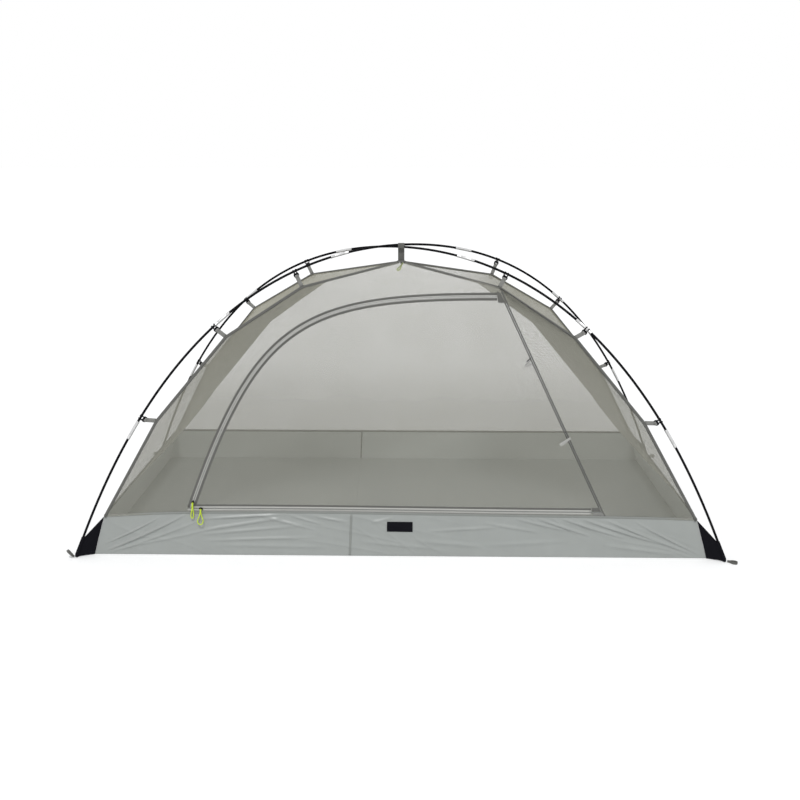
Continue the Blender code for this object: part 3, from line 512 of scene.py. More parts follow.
for back, arch in ARCHES.items():
    stops = [0, *arch.joints, arch.lengths[-1]]
    for number, (start, end) in enumerate(zip(stops, stops[1:]), 1):
        path = arch.path(start + CLEARANCE, end - CLEARANCE)
        tube = Shape().add(*sweep(path, circle(TUBE_RADIUS, 16), arch.aside()))
        node = f"{POLE_NAMES[back]}_section_{number}"
        tube.make(f"{POLE_NAMES[back]}_tube_{number}", "tent", FIBRE, "black_tube", [node])
    for number, joint in enumerate(arch.joints, 1):
        sleeve = Shape().add(*ferrule_shape(arch, joint))
        node = f"{POLE_NAMES[back]}_ferrule_{number}"
        sleeve.make(f"{POLE_NAMES[back]}_sleeve_{number}", "tent", ALUMINIUM, "silver_ferrule", [node])
    print(POLE_NAMES[back], "length", round(arch.lengths[-1], 3))

# %% [markdown]
# ## Clips and straps
# A moulded clip snaps over the pole with two hooks that open to opposite sides, and a strap runs through the
# bar at its foot down to the ridge seam. The hooks are a flat section bent round in a circle and the foot is
# a ring round a slot, so the strap really passes through.

# %% Where each clip sits
CLIP_REACHES = {"top": 0.3362, "middle": 0.5785, "low": 0.7966}
HOOK_INNER, HOOK_WALL, HOOK_WIDTH, HOOK_SPREAD = 0.00618, 0.0018, 0.0045, 0.011
CLIP_TOP = HOOK_INNER + HOOK_WALL / 2
CLIP_NECK, CLIP_SLOT, CLIP_BAR, CLIP_WIDTH, CLIP_THICKNESS = 0.004, 0.0055, 0.003, 0.021, 0.0036
BAR_PLACE = CLIP_TOP + CLIP_NECK + CLIP_SLOT + CLIP_BAR / 2
LEVELS = {"top": 3, "middle": 2, "low": 1}


def clip_axes(corner, level):
    """The clip's middle, along the pole, towards the net, and to one side."""
    right, back = CORNERS[corner]
    arch = ARCHES[right * back]
    reach = CLIP_REACHES[level] * FOOT
    slope = pole_slope(reach, arch.crown)
    out = np.array([right * DIAGONAL[0], back * DIAGONAL[1], 0])
    along, inward = unit(out + slope * UP), unit(slope * out - UP)
    at = np.interp(right * reach, arch.reaches, arch.lengths)
    on_sleeve = min(abs(at - joint) for joint in arch.joints) < (FERRULE_LENGTH + CLIP_WIDTH) / 2
    seat = FERRULE_RADIUS if on_sleeve else POLE_RADIUS
    middle = reach * out + pole_height(reach, arch.crown) * UP + inward * (HOOK_INNER - seat - CLEARANCE)
    return middle, along, inward, np.cross(along, inward)

# %% A clip's hooks, ring and neck
HOOK_START, FLARE_START, HOOK_END = -35, 235, 262  # degrees round the pole
LIP_FLARE, HOOK_EDGE = 0.0016, 0.0007


def hook(middle, along, inward, aside, side):
    """One hook, from its root at the neck round the pole to a flared lip."""
    turns = np.linspace(HOOK_START, HOOK_END, 26)
    flare = np.clip((turns - FLARE_START) / (HOOK_END - FLARE_START), 0, 1) ** 2 * LIP_FLARE
    radius, angles = HOOK_INNER + HOOK_WALL / 2 + flare, np.radians(turns)
    centre = middle + side * HOOK_SPREAD / 2 * along
    path = (centre + (radius * np.sin(angles))[:, None] * side * aside
            + (radius * np.cos(angles))[:, None] * inward)
    return sweep(path, rounded(HOOK_WIDTH, HOOK_WALL, HOOK_EDGE), along)


RING_INSET, RING_CORNER, RING_BAR, RING_EDGE = 0.0024, 0.002, 0.0044, 0.0014


def clip_foot(middle, along, inward, aside):
    """The ring round the slot that the strap goes through."""
    centre = middle + inward * (CLIP_TOP + CLIP_NECK + CLIP_SLOT / 2)
    corners = rounded(CLIP_WIDTH - 2 * RING_INSET, CLIP_SLOT + CLIP_BAR, RING_CORNER, 4)
    path = centre + corners[:, :1] * along + corners[:, 1:] * inward
    return sweep(path, rounded(CLIP_THICKNESS, RING_BAR, RING_EDGE), aside, closed=True)


NECK_WIDTH, NECK_THICKNESS, NECK_EDGE, NECK_OVERLAP = 0.0145, 0.0034, 0.0012, 0.0004
NECK_SHARES = (1.0, 0.92, 0.82, 0.78, 0.82, 0.95, 1.15)
NECK_TIP = CLIP_TOP + CLIP_NECK + 0.45 * CLIP_SLOT


def clip_neck(middle, along, inward, aside):
    """The plate from the hooks to the ring, narrow in the middle."""
    drops = np.linspace(HOOK_INNER + NECK_OVERLAP, NECK_TIP, len(NECK_SHARES))
    widths = np.stack([NECK_SHARES, np.ones(len(NECK_SHARES))], 1)
    section = rounded(NECK_WIDTH, NECK_THICKNESS, NECK_EDGE)
    return sweep(middle + drops[:, None] * inward, section, along, widths)

# %% The clips
for corner in CORNERS:
    for level in CLIP_REACHES:
        axes = clip_axes(corner, level)
        clip = Shape().add(*clip_foot(*axes)).add(*clip_neck(*axes))
        for side in (-1, 1):
            clip.add(*hook(*axes, side))
        node = f"pole_clip_{corner}_{level}"
        clip.make(f"clip_{corner}_{level}", "tent", PLASTIC, "black_plastic", [node])
print("clips", 4 * len(CLIP_REACHES))

# %% Straps from the clips to the ridge
STRAP_WIDTH, STRAP_THICKNESS, STRAP_EDGE, STITCH_GAP = 0.015, 0.0011, 0.0004, 0.0001
SEWN_DROP, LOOSE_DROP, LOOSE_HALF = 0.008, 0.0045, 0.0012
ROUND_BAR = ((-0.0028, 0.0002), (-0.002, -0.0022), (0.0, -0.003), (0.002, -0.0022), (0.0028, 0.0002))


def strap(corner, level):
    """One band, up one side, round the clip's bar and down the other, sewn together below it."""
    middle, along, inward, aside = clip_axes(corner, level)
    bar = middle + inward * BAR_PLACE
    seat = on_diagonal(corner, *RIDGE[LEVELS[level]])
    down, half = unit(seat - bar), STRAP_THICKNESS / 2 + STITCH_GAP
    limb = [(seat, half), (bar + 0.5 * (seat - bar), half), (bar + SEWN_DROP * down, half),
            (bar + LOOSE_DROP * down, LOOSE_HALF)]
    path = [spot - apart * aside for spot, apart in limb]
    path += [bar + across * aside + drop * inward for across, drop in ROUND_BAR]
    path += [spot + apart * aside for spot, apart in reversed(limb)]
    path = smooth_path(path, 49)
    lower = unit(on_diagonal(corner, *RIDGE[LEVELS[level] - 1]) - seat)
    upper = unit(on_diagonal(corner, *RIDGE[LEVELS[level] + 1]) - seat)
    share = np.clip(np.linalg.norm(path - bar, axis=1) / np.linalg.norm(seat - bar), 0, 1)[:, None]
    side = along * (1 - share) + unit(lower - upper) * share
    return sweep(path, rounded(STRAP_WIDTH, STRAP_THICKNESS, STRAP_EDGE, 2), side)


for corner in CORNERS:
    for level in CLIP_REACHES:
        band = Shape().add(*strap(corner, level))
        band.make(f"strap_{corner}_{level}", "tent", GREY_STRAP, "grey_webbing")
print("straps", 4 * len(CLIP_REACHES))

# %% [markdown]
# ## Where the net hangs
# Between the ridges each panel hangs in a shallow hollow, deepest halfway between its edges. The tapes, the
# wall's bound edge and the zips all follow these surfaces, so they are written first, as plain functions.

# %% Surfaces of the panels
TAPE_EDGE, NET_STOP = 0.004, 0.014
BACK_SAG_SHARE, END_SAG_SHARE, END_FOOT_SAG_SHARE = 0.65, 0.31, 0.6


def ridge_reach(height):
    return float(np.interp(height, [point[1] for point in RIDGE], [point[0] for point in RIDGE]))


def edge_of(height, along_front):
    """Where a panel meets the ridge tape, in the quarter where X and Y are above zero."""
    reach, turn = ridge_reach(height), 1 if along_front else -1
    return (reach * DIAGONAL[0] - turn * DIAGONAL[1] * TAPE_EDGE,
            reach * DIAGONAL[1] + turn * DIAGONAL[0] * TAPE_EDGE)


def taper(height):
    """1 at the wall's top and 0 at the net's: how wide a straight-sided tent would be at this height."""
    return (NET_HEIGHT - height) / (NET_HEIGHT - WALL_HEIGHT)


def bow(across):
    return 1 - (2 * across - 1) ** 2


def back_point(across, height):
    x, y = edge_of(height, True)
    sag = BACK_SAG_SHARE * (y - WALL_TOP_Y * taper(height)) * bow(across)
    return x * (1 - 2 * across), y - sag, height


def end_point(side, across, height):
    x, y = edge_of(height, False)
    share = END_SAG_SHARE + END_FOOT_SAG_SHARE * taper(height) ** 2
    sag = share * (x - WALL_TOP_X * taper(height)) * bow(across)
    return side * (x - sag), side * y * (2 * across - 1), height


def roof_height(reach):
    """The height of the topmost stretch of the ridge, this far from the middle."""
    return NET_HEIGHT - (NET_HEIGHT - RIDGE[-2][1]) * reach / RIDGE[-2][0]


NET_TOP = roof_height(NET_STOP)
HEIGHTS = [NET_START, RIDGE[1][1], RIDGE[2][1], RIDGE[3][1], NET_TOP]


def height_at(up):
    return float(np.interp(up, np.linspace(0, 1, len(HEIGHTS)), HEIGHTS))


print("net from", NET_START, "to", round(NET_TOP, 4), "high")

# %% The front surface
DOOR_FOOT, HINGE_GAP = 0.164, 0.0014
HINGE_TOP, HINGE_BESIDE, HINGE_BLEND = np.array([0.35446, -0.17924, 0.89915]), 0.0085, 0.03
HINGE_FOOT = np.array([0.72, -WALL_TOP_Y, WALL_HEIGHT])
FRONT_SAG_SHARE, SIDE_SAG_SHARE = 0.45, 0.15


def hinge_at(height, beside=0.0):
    """The door's straight seam at this height, or a point beside it."""
    share = (HINGE_TOP[2] - height) / (HINGE_TOP[2] - HINGE_FOOT[2])
    return HINGE_TOP + (HINGE_FOOT - HINGE_TOP) * share + np.array([beside, 0, 0])


def front_edge(height, beside):
    """A point at this height and distance beside the front right ridge."""
    reach = ridge_reach(height)
    x, y = reach * DIAGONAL[0] - DIAGONAL[1] * beside, -reach * DIAGONAL[1] - DIAGONAL[0] * beside
    return np.array([x, y, height])


def front_point(x, height, stand=0.0):
    """The front surface at this X and height, standing out by stand along its normal."""
    left = front_edge(height, TAPE_EDGE) * [-1, 1, 1]
    beside = np.interp(height, [HINGE_TOP[2], HINGE_TOP[2] + HINGE_BLEND], [HINGE_BESIDE, TAPE_EDGE])
    right = hinge_at(height, -HINGE_GAP) if height < HINGE_TOP[2] else front_edge(height, beside)
    across = (x - left[0]) / (right[0] - left[0])
    sag = FRONT_SAG_SHARE * (-left[1] - WALL_TOP_Y * taper(height)) * bow(across)
    point = left + (right - left) * across + np.array([0, sag, 0])
    if stand:
        step = 0.002
        normal = unit(np.cross(front_point(x, height + step) - point, front_point(x + step, height) - point))
        point = point + stand * (normal if normal[1] < 0 else -normal)
    return point


def side_point(across, height):
    edge, near = front_edge(height, TAPE_EDGE), hinge_at(height, HINGE_GAP)
    sag = SIDE_SAG_SHARE * (-edge[1] - WALL_TOP_Y * taper(height)) * bow(across)
    return near + (edge - near) * across + np.array([0, sag, 0])


print("door's straight seam", round(float(np.linalg.norm(HINGE_FOOT - HINGE_TOP)), 3), "long")

# %% The zip's arc
# Its foot and its top, its lean at each, and how far it keeps on that way
ZIP_FOOT, FOOT_LEAN, FOOT_RUN = np.array([-0.7305, DOOR_FOOT]), math.radians(19), 0.721
ZIP_TOP, TOP_LEAN, TOP_RUN = np.array([0.362, 0.867]), math.radians(2.6), 0.691


def zip_line(outwards=0.0, count=90):
    """The zip's arc as X and height, moved outwards from the door."""
    first = ZIP_FOOT + FOOT_RUN * np.array([math.sin(FOOT_LEAN), math.cos(FOOT_LEAN)])
    second = ZIP_TOP - TOP_RUN * np.array([math.cos(TOP_LEAN), math.sin(TOP_LEAN)])
    share = np.linspace(0, 1, count)[:, None]
    path = ((1 - share) ** 3 * ZIP_FOOT + 3 * (1 - share) ** 2 * share * first
            + 3 * (1 - share) * share**2 * second + share**3 * ZIP_TOP)
    ahead = unit(np.gradient(path, axis=0))
    return path + outwards * np.stack([-ahead[:, 1], ahead[:, 0]], 1)


print("zip's arc", round(float(np.linalg.norm(np.diff(zip_line(), axis=0), axis=1).sum()), 3), "long")

# %% [markdown]
# ## Ridge tapes and the top
# Where two net panels meet, a folded tape covers the seam from the wall's corner up to the middle. The
# panels fall away steeply on both sides, so the tape's two flanks are turned down along them, which a flat
# band would not show from the front. At the top a strap loops round the crossing of the poles and carries
# a round patch, from which the lantern loop hangs.

# %% Where the tapes run
TAPE_STOP = 0.012
INTO_END, INTO_BACK, INTO_SIDE, INTO_FRONT = 0.02, 0.01, 0.05, 0.02  # shares of each panel's width


def ridge_line(corner, count=90):
    """The ridge from wall to top, straight between the straps."""
    spots = [(ridge_reach(NET_START), NET_START), *RIDGE[1:-1], (TAPE_STOP, roof_height(TAPE_STOP))]
    reaches, heights = np.array(spots).T
    lengths = np.concatenate([[0], np.cumsum(np.hypot(np.diff(reaches), np.diff(heights)))])
    at = np.linspace(0, lengths[-1], count)
    along = zip(np.interp(at, lengths, reaches), np.interp(at, lengths, heights))
    return np.array([on_diagonal(corner, reach, height) for reach, height in along])


def panel_edge(corner, height, on_end):
    """Where a panel leaves this ridge at this height, and a point a little way into the panel."""
    right, back = CORNERS[corner]
    if on_end:
        shares = (1.0, 1 - INTO_END) if right * back > 0 else (0.0, INTO_END)
        return np.array([end_point(right, share, height) for share in shares])
    if back > 0:
        shares = (0.0, INTO_BACK) if right > 0 else (1.0, 1 - INTO_BACK)
        return np.array([back_point(share, height) for share in shares])
    if right > 0 and height < HINGE_TOP[2]:
        return np.array([side_point(share, height) for share in (1.0, 1 - INTO_SIDE)])
    edge = right * front_edge(height, TAPE_EDGE)[0]
    return np.array([front_point(x, height) for x in (edge, (1 - INTO_FRONT) * edge)])

# %% Ridge tapes
TAPE_FLANK, TAPE_THICKNESS, TAPE_CREST, TAPE_CLEAR = 0.0065, 0.0014, 0.0006, 0.0002


def ridge_tape(corner):
    """A tape over the ridge, with a narrow top and its two sides folded down along the two panels."""
    right, back = CORNERS[corner]
    path = ridge_line(corner)
    ahead = unit(np.gradient(path, axis=0))
    lines = {}
    for on_end, turn in ((True, 1), (False, -1)):
        edges = [panel_edge(corner, min(spot[2], NET_TOP), on_end) for spot in path]
        falls = np.array([inner - edge for edge, inner in edges])
        falls = unit(falls - (falls * ahead).sum(1, keepdims=True) * ahead)
        for _ in range(3):
            falls[1:-1] = unit(falls[:-2] + falls[1:-1] + falls[2:])
        level = turn * np.array([right * DIAGONAL[1], -back * DIAGONAL[0], 0])
        lines[on_end] = [path + TAPE_EDGE * level + TAPE_FLANK * share * falls for share in (0.0, 0.5, 1.0)]
    rows = np.stack([*reversed(lines[True]), path + TAPE_CREST * UP, *lines[False]], 1)
    outwards = unit(np.cross(np.gradient(rows, axis=1), ahead[:, None]))
    outwards *= 1 if outwards[10, 3, 2] > 0 else -1
    over, under = rows + TAPE_THICKNESS * outwards, rows + TAPE_CLEAR * outwards
    return skin(np.concatenate([over, under[:, ::-1]], 1))


for corner in CORNERS:
    name = f"ridge_tape_{corner}"
    Shape().add(*ridge_tape(corner)).make(name, "tent", DARK_TAPE, "grey_webbing", ["seam_tapes"])
print("ridge tapes", len(CORNERS))

# %% The strap round the crossing, the patch and its lug
TOP_STRAP_WIDTH, TOP_STRAP_THICKNESS, BAND_EDGE = 0.024, 0.0012, 0.0004
ROUND_HALF, ROUND_LOW, ROUND_HIGH = 0.0118, 1.0188, 1.0372
# Y and height, from the sewn foot up round one side of the two poles
TOP_STRAP = [(0.0006, 0.9695), (0.0006, 0.99), (0.0007, 1.012), (0.0035, ROUND_LOW - 0.0004),
             (ROUND_HALF - 0.002, ROUND_LOW), (ROUND_HALF, ROUND_LOW + 0.003),
             (ROUND_HALF, ROUND_HIGH - 0.003), (ROUND_HALF - 0.002, ROUND_HIGH), (0, ROUND_HIGH + 0.0002)]
# How far out each ring of the patch is, and how thick it is there
RING_SHARES = ((0.0, 1.0), (0.35, 0.97), (0.7, 0.85), (0.9, 0.6), (1.0, 0.0))
LUG_WIDTH, LUG_THICKNESS, LUG_EDGE = 0.006, 0.0008, 0.0003
LUG = [(-0.0007, 0.969), (-0.0022, 0.9645), (0, 0.9602), (0.0022, 0.9645), (0.0007, 0.969)]


def top_strap():
    both = TOP_STRAP + [(-y, z) for y, z in reversed(TOP_STRAP[:-1])]
    path = smooth_path([(0, y, z) for y, z in both], 70)
    return sweep(path, rounded(TOP_STRAP_WIDTH, TOP_STRAP_THICKNESS, BAND_EDGE, 2), (1, 0, 0))


def round_patch(radius, height, thickness, dome):
    """A round patch with a soft edge, thicker in the middle."""
    rings = [*RING_SHARES, *((share, -lift) for share, lift in RING_SHARES[-2::-1])]
    profile = [(share * radius, height + thickness / 2 * lift + dome * (1 - share)) for share, lift in rings]
    angles = np.linspace(0, 2 * math.pi, 32, endpoint=False)
    points = [(r * math.cos(a), r * math.sin(a), z) for r, z in profile for a in angles]
    faces = []
    for ring in range(len(profile) - 1):
        low, high = ring * len(angles), (ring + 1) * len(angles)
        for j in range(len(angles)):
            k = (j + 1) % len(angles)
            faces.append((high + j, high + k, low + k, low + j))
    return points, faces, [[points[index][:2] for index in face] for face in faces]


Shape().add(*top_strap()).make("top_strap", "tent", DARK_TAPE, "grey_webbing")
patch = round_patch(radius=0.019, height=NET_HEIGHT - 0.0012, thickness=0.0045, dome=0.0015)
Shape().add(*patch).make("top_patch", "tent", DARK_TAPE, "grey_webbing")
lug_path = smooth_path([(0, y, z) for y, z in LUG], 17)
lug = sweep(lug_path, rounded(LUG_WIDTH, LUG_THICKNESS, LUG_EDGE, 2), (1, 0, 0))
Shape().add(*lug).make("lantern_lug", "tent", DARK_TAPE, "grey_webbing")
print("top strap stands", round(ROUND_HIGH - NET_HEIGHT, 4), "over the net")

# %% Loops of cord
STRAND_HALF, HOLE_HALF, HOLE_RISE, HOLE_DROP = 0.0012, 0.0017, 0.0012, 0.001
KNOT_WIDE, KNOT_DEEP, KNOT_CORD = 1.7, 1.1, 0.8  # shares of the cord's radius


def cord_loop(hole, length, width, tilt=0.0, knot=0.25, swing=0.0, radius=0.0018):
    """A loop of cord through a hole: two strands side by side to a knot, then a drop-shaped eye. tilt
    leans it back and swing sideways."""
    half = width / 2
    right = [(0, HOLE_RISE), (HOLE_HALF, -HOLE_DROP), (STRAND_HALF, -0.3 * knot * length),
             (STRAND_HALF, -knot * length), (0.45 * half, -(knot + 0.2) * length), (half, -0.75 * length),
             (0.75 * half, -0.93 * length), (0, -length)]
    outline = right + [(-x, z) for x, z in reversed(right[1:-1])]
    flat = smooth_path([(x, 0, z) for x, z in outline], 72, closed=True)
    sideways, lean = np.array([1, 0, 0]), np.array([-swing, math.sin(tilt), math.cos(tilt)])
    face = np.cross(sideways, lean)
    path = np.asarray(hole) + flat[:, :1] * sideways + flat[:, 2:] * lean
    strands = sweep(path, circle(radius, 10), face, closed=True)
    knot_at = np.asarray(hole) - knot * length * lean
    turns = circle(radius, 16)
    ring = knot_at + KNOT_WIDE * turns[:, :1] * sideways + KNOT_DEEP * turns[:, 1:] * face
    return strands, sweep(ring, circle(KNOT_CORD * radius, 8), lean, closed=True)


def add_cord_loop(name, hole, length, width, body, node, **bends):
    shape = Shape()
    for part in cord_loop(hole, length, width, **bends):
        shape.add(*part)
    print(name, "hangs", length)
    return shape.make(name, body, LIME, "lime_cord", [node])


add_cord_loop("lantern_cord", (0.005, 0, 0.962), 0.026, 0.011, "lantern_loop", "lantern_loop", knot=0.4,
              swing=-0.65, radius=0.0024)

# %% [markdown]
# ## The bathtub floor
# One coated sheet makes the floor and folds up into low walls. Tension from the corners pulls fans of creases
# into the walls. A cloth simulation would give creases in its own places, so here each crease is a short line
# with a width and a height, laid where the photograph shows it, and the walls swell and shrink a little.

# %% The front wall's top edge
FRONT_RISE = smooth_path([(-1.037, 0.0), (-0.768, 0.012), (-0.346, 0.0165), (0.004, 0.0135), (0.561, 0.008),
                          (0.839, 0.0045), (1.037, 0.0)], 60)


def wall_top(x):
    """The height of the front wall's top at this X: the net's pull bows it up between the corners."""
    return WALL_HEIGHT + float(np.interp(x, *FRONT_RISE.T))


print("front wall's top", [round(wall_top(x), 4) for x in (-1, -0.5, 0, 0.5, 1)])

# %% The creases
CREASES = [  # along the wall from its middle, and up it, of its first and last point, width and rise
    (-1.05, 0.008, -0.765, 0.138, 0.004, 0.0071), (-1.065, 0.03, -0.87, 0.125, 0.0032, 0.0051),
    (-1.04, 0.001, -0.7, 0.122, 0.0048, 0.0044), (-1, 0.02, -0.62, 0.1, 0.0048, 0.0034),
    (-0.72, 0.118, -0.36, 0.135, 0.0036, 0.0058), (-0.7, 0.085, -0.42, 0.122, 0.0048, 0.0054),
    (-0.72, 0.07, -0.35, 0.098, 0.0048, 0.0044), (-0.7, 0.05, -0.3, 0.062, 0.0048, 0.0041),
    (-0.66, 0.035, -0.25, 0.03, 0.0064, 0.0034), (-0.5, 0.128, -0.3, 0.085, 0.004, 0.0044),
    (-0.4, 0.13, -0.27, 0.1, 0.0032, 0.0044), (-0.3, 0.125, -0.18, 0.11, 0.0032, 0.0037),
    (-0.14, 0.05, 0.1, 0.03, 0.0064, 0.0034), (-0.1, 0.11, -0.02, 0.126, 0.004, 0.0034),
    (0.06, 0.055, 0.3, 0.035, 0.0072, 0.0037), (0.1, 0.085, 0.36, 0.1, 0.0048, 0.0037),
    (0.3, 0.115, 0.5, 0.085, 0.0048, 0.0041), (0.42, 0.128, 0.6, 0.09, 0.004, 0.0044),
    (0.5, 0.13, 0.68, 0.075, 0.0044, 0.0061), (0.59, 0.13, 0.8, 0.07, 0.0044, 0.0065),
    (0.665, 0.13, 0.93, 0.05, 0.0044, 0.0068), (0.745, 0.13, 1.03, 0.015, 0.0044, 0.0068),
    (0.85, 0.126, 1.055, 0.012, 0.004, 0.0051), (0.3, 0.04, 0.6, 0.055, 0.0072, 0.0031),
    (0.72, 0.045, 0.98, 0.012, 0.0064, 0.0037),
]


RUN_OUT, BLUNTNESS = 0.1, 0.6


def crease_rise(along, up, creases):
    """How far a wall stands out at this spot, from all its creases together."""
    total = 0.0
    for x0, z0, x1, z1, width, rise in creases:
        run, climb = x1 - x0, z1 - z0
        length = math.hypot(run, climb)
        share = ((along - x0) * run + (up - z0) * climb) / length**2
        if -RUN_OUT < share < 1 + RUN_OUT:
            apart = abs((along - x0) * climb - (up - z0) * run) / length
            ends = math.sin(math.pi * min(max(share, 0), 1)) ** BLUNTNESS
            total += rise * ends * math.exp(-((apart / width) ** 2))
    return total


SLANTING_RISE, LEVEL_RISE = 0.0019, 0.0022


def crumple(along, up):
    """Fine ridges left by folding and packing: some slanting, some level, in patches. Each wave's numbers
    are radians a metre."""
    slanting = (1 - abs(math.sin(26 * along + 60 * up + 1.5 * math.sin(11 * along)))) ** 3
    level = (1 - abs(math.sin(64 * up + 4 * math.sin(3 * along)))) ** 3
    slanting_here, level_here = math.sin(7 * along + 30 * up), -math.sin(4 * along - 1.1)
    return SLANTING_RISE * slanting * max(0, slanting_here) + LEVEL_RISE * level * max(0, level_here)

# %% Wall and floor surfaces
END_FADE, FOOT_FADE_SHARE, TOP_FADE_SHARE, BOW_BACK_SHARE = 0.06, 0.1, 0.05, 0.2
SWELL, RIPPLE = 0.002, 0.0015


def wall_point(wall, along, up, stand=0.0):
    """A point of a wall: along it from its middle, up it in metres, standing out by stand. A point inside the
    sheet leaves the creases out."""
    rise = up / WALL_HEIGHT
    scale = 1 + (TOP_SCALE - 1) * rise
    half, depth = (HALF_LENGTH, HALF_WIDTH) if wall in ("front", "back") else (HALF_WIDTH, HALF_LENGTH)
    near_end = min(1.0, (half - abs(along)) / END_FADE)
    soft = math.sin(math.pi * min(max(rise, 0), 1)) * near_end
    free = min(1.0, max(rise, 0) / FOOT_FADE_SHARE, max(1 - rise, 0) / TOP_FADE_SHARE) * near_end
    mirrored = -along if wall in ("back", "right") else along
    spot = mirrored * (HALF_LENGTH / half)
    swell = SWELL * math.sin(7.3 * spot + 1.1) + RIPPLE * math.sin(17 * spot + 2.3 * rise)
    folds = crease_rise(spot, up, CREASES) + crumple(spot, up) if stand >= 0 else 0.0
    out = depth * scale + soft * swell + free * folds + stand
    side = along * scale
    if wall == "front":
        lift = (wall_top(side) - WALL_HEIGHT) * min(max(rise, 0), 1) ** 2
        up, out = up + lift, out - BOW_BACK_SHARE * lift
    return {"front": (side, -out, up), "back": (side, out, up),
            "left": (-out, side, up), "right": (out, side, up)}[wall]


SHEET_BASE, BILLOW, BILLOW_FADE = 0.0006, 0.0013, 0.12


def floor_height(x, y):
    """Soft billows in the ground sheet, flat at its edges."""
    edge = min(1, (HALF_LENGTH - abs(x)) / BILLOW_FADE, (HALF_WIDTH - abs(y)) / BILLOW_FADE)
    waves = 1 + math.sin(9 * x + 2 * y) * math.sin(11 * y + 1.3) + 0.5 * math.sin(23 * x - 7 * y)
    return SHEET_BASE + BILLOW * max(0, edge) * max(0, waves)


print("deepest crease", max(rise for *_, rise in CREASES), "of", len(CREASES))

# %% The sheet, and its inside painted lighter as painted light
WALLS = (("front", HALF_LENGTH, 1), ("right", HALF_WIDTH, 1),
         ("back", HALF_LENGTH, -1), ("left", HALF_WIDTH, -1))
FINE_GRID, PLAIN_GRID, LIT_INSIDE_GAP = (0.0032, 60), (0.01, 20), 0.0012  # a grid's step along, and rows up


def tub_walls(stand):
    """The four walls as fine grids, moved out by stand."""
    shape = Shape()
    for wall, half, turn in WALLS:
        def place(across, rise, wall=wall, half=half, turn=turn):
            up = SHEET_BASE + rise * (WALL_HEIGHT - SHEET_BASE)
            return wall_point(wall, turn * half * (2 * across - 1), up, stand)

        step, rows = FINE_GRID if wall == "front" and not stand else PLAIN_GRID
        shape.add(*grid(place, round(2 * half / step), rows, 2 * half, WALL_HEIGHT))
    return shape


def floor_point(across, back):
    x, y = HALF_LENGTH * (2 * across - 1), HALF_WIDTH * (2 * back - 1)
    return x, y, floor_height(x, y)


def area_of(piece):
    return sum(face.area for face in piece.data.polygons)


tub = tub_walls(0.0).add(*grid(floor_point, 90, 46, FLOOR_LENGTH, FLOOR_WIDTH))
floor_sheet = tub.make("tub_sheet", "tent", GROUND, "grey_ground_sheet", ["bathtub_floor"])
# The inside faces of the walls, in the lighter finish: painted light.
lit_inside_sheet = tub_walls(-LIT_INSIDE_GAP).make("wall_lining", "tent", LIT_INSIDE, "grey_ground_sheet")
print("ground sheet area", round(area_of(floor_sheet), 3))

# %% [markdown]
# ## Seams of the tub
# The ground sheet is pieced together with one seam across, and a bound edge holds the net to the wall's top.
# Both are flat bands carried along the surfaces just made. The bound edge's outside and the front wall's
# seam take the darker seam cloth, painted shade.

# %% Bound edge
BINDING_RISE, BINDING_THICKNESS, BINDING_WIDTH, BINDING_STAND = 0.0034, 0.0011, 0.0085, 0.0006
BINDING_STEP, BINDING_EDGE = 0.02, 0.0005


def wall_loop(up, stand):
    """Points all round the four walls at this height."""
    points = []
    for wall, half, turn in WALLS:
        count = round(2 * half / BINDING_STEP)
        points += [wall_point(wall, turn * half * (2 * i / count - 1), up, stand) for i in range(count)]
    return np.array(points)


# The outside of the bound edge is in the darker seam cloth, painted shade.
for name, stand, finish in (("wall_binding", BINDING_STAND, SHADED_SEAM_CLOTH),
                            ("wall_binding_inside", -BINDING_STAND, DARK_TAPE)):
    edge_path = wall_loop(WALL_HEIGHT + BINDING_RISE, stand)
    section = rounded(BINDING_THICKNESS, BINDING_WIDTH, BINDING_EDGE, 2)
    band = sweep(edge_path, section, unit(edge_path * [1, 1, 0]), closed=True)
    Shape().add(*band).make(name, "tent", finish, "grey_webbing")
print("bound edge round the walls", len(edge_path), "points")

# %% Cross seam
SEAM_FRONT, SEAM_BACK, SEAM_LOW, SEAM_TOP, SEAM_END = -0.173, -0.194, 0.002, 0.132, 0.512
SEAM_STAND, BACK_SEAM_STAND, SEAM_THICKNESS = 0.0006, -0.0008, 0.001
front_seam = [wall_point("front", SEAM_FRONT, up, SEAM_STAND) for up in np.linspace(SEAM_TOP, SEAM_LOW, 30)]
seam_spots = zip(np.linspace(SEAM_FRONT, SEAM_BACK, 50), np.linspace(-SEAM_END, SEAM_END, 50))
floor_seam = [(x, y, floor_height(x, y) + SEAM_STAND) for x, y in seam_spots]
back_seam = [wall_point("back", SEAM_BACK, up, BACK_SEAM_STAND) for up in np.linspace(SEAM_LOW, SEAM_TOP, 18)]
# The front wall's seam is in the darker seam cloth, painted shade.
for name, path, width, finish in (("front_wall_seam", front_seam, 0.0085, SHADED_SEAM_CLOTH),
                                  ("floor_seam", floor_seam, 0.008, GROUND),
                                  ("back_wall_seam", back_seam, 0.0065, DARK_TAPE)):
    seam = sweep(path, rounded(width, SEAM_THICKNESS, BAND_EDGE, 2), (1, 0, 0))
    Shape().add(*seam).make(name, "tent", finish, "grey_ground_sheet")
    print(name, "width", width)

# %% The bare patch
PATCH_ALONG, PATCH_UP, PATCH_LENGTH, PATCH_HEIGHT = 0.003, 0.0985, 0.091, 0.029
PATCH_CUT_HEIGHT, PATCH_STAND, PATCH_EDGE = 0.032, 0.0012, 0.0007


def patch_point(across, up):
    along, rise = PATCH_ALONG + PATCH_LENGTH * (across - 0.5), PATCH_UP + PATCH_HEIGHT * (up - 0.5)
    return wall_point("front", along, rise, PATCH_STAND)


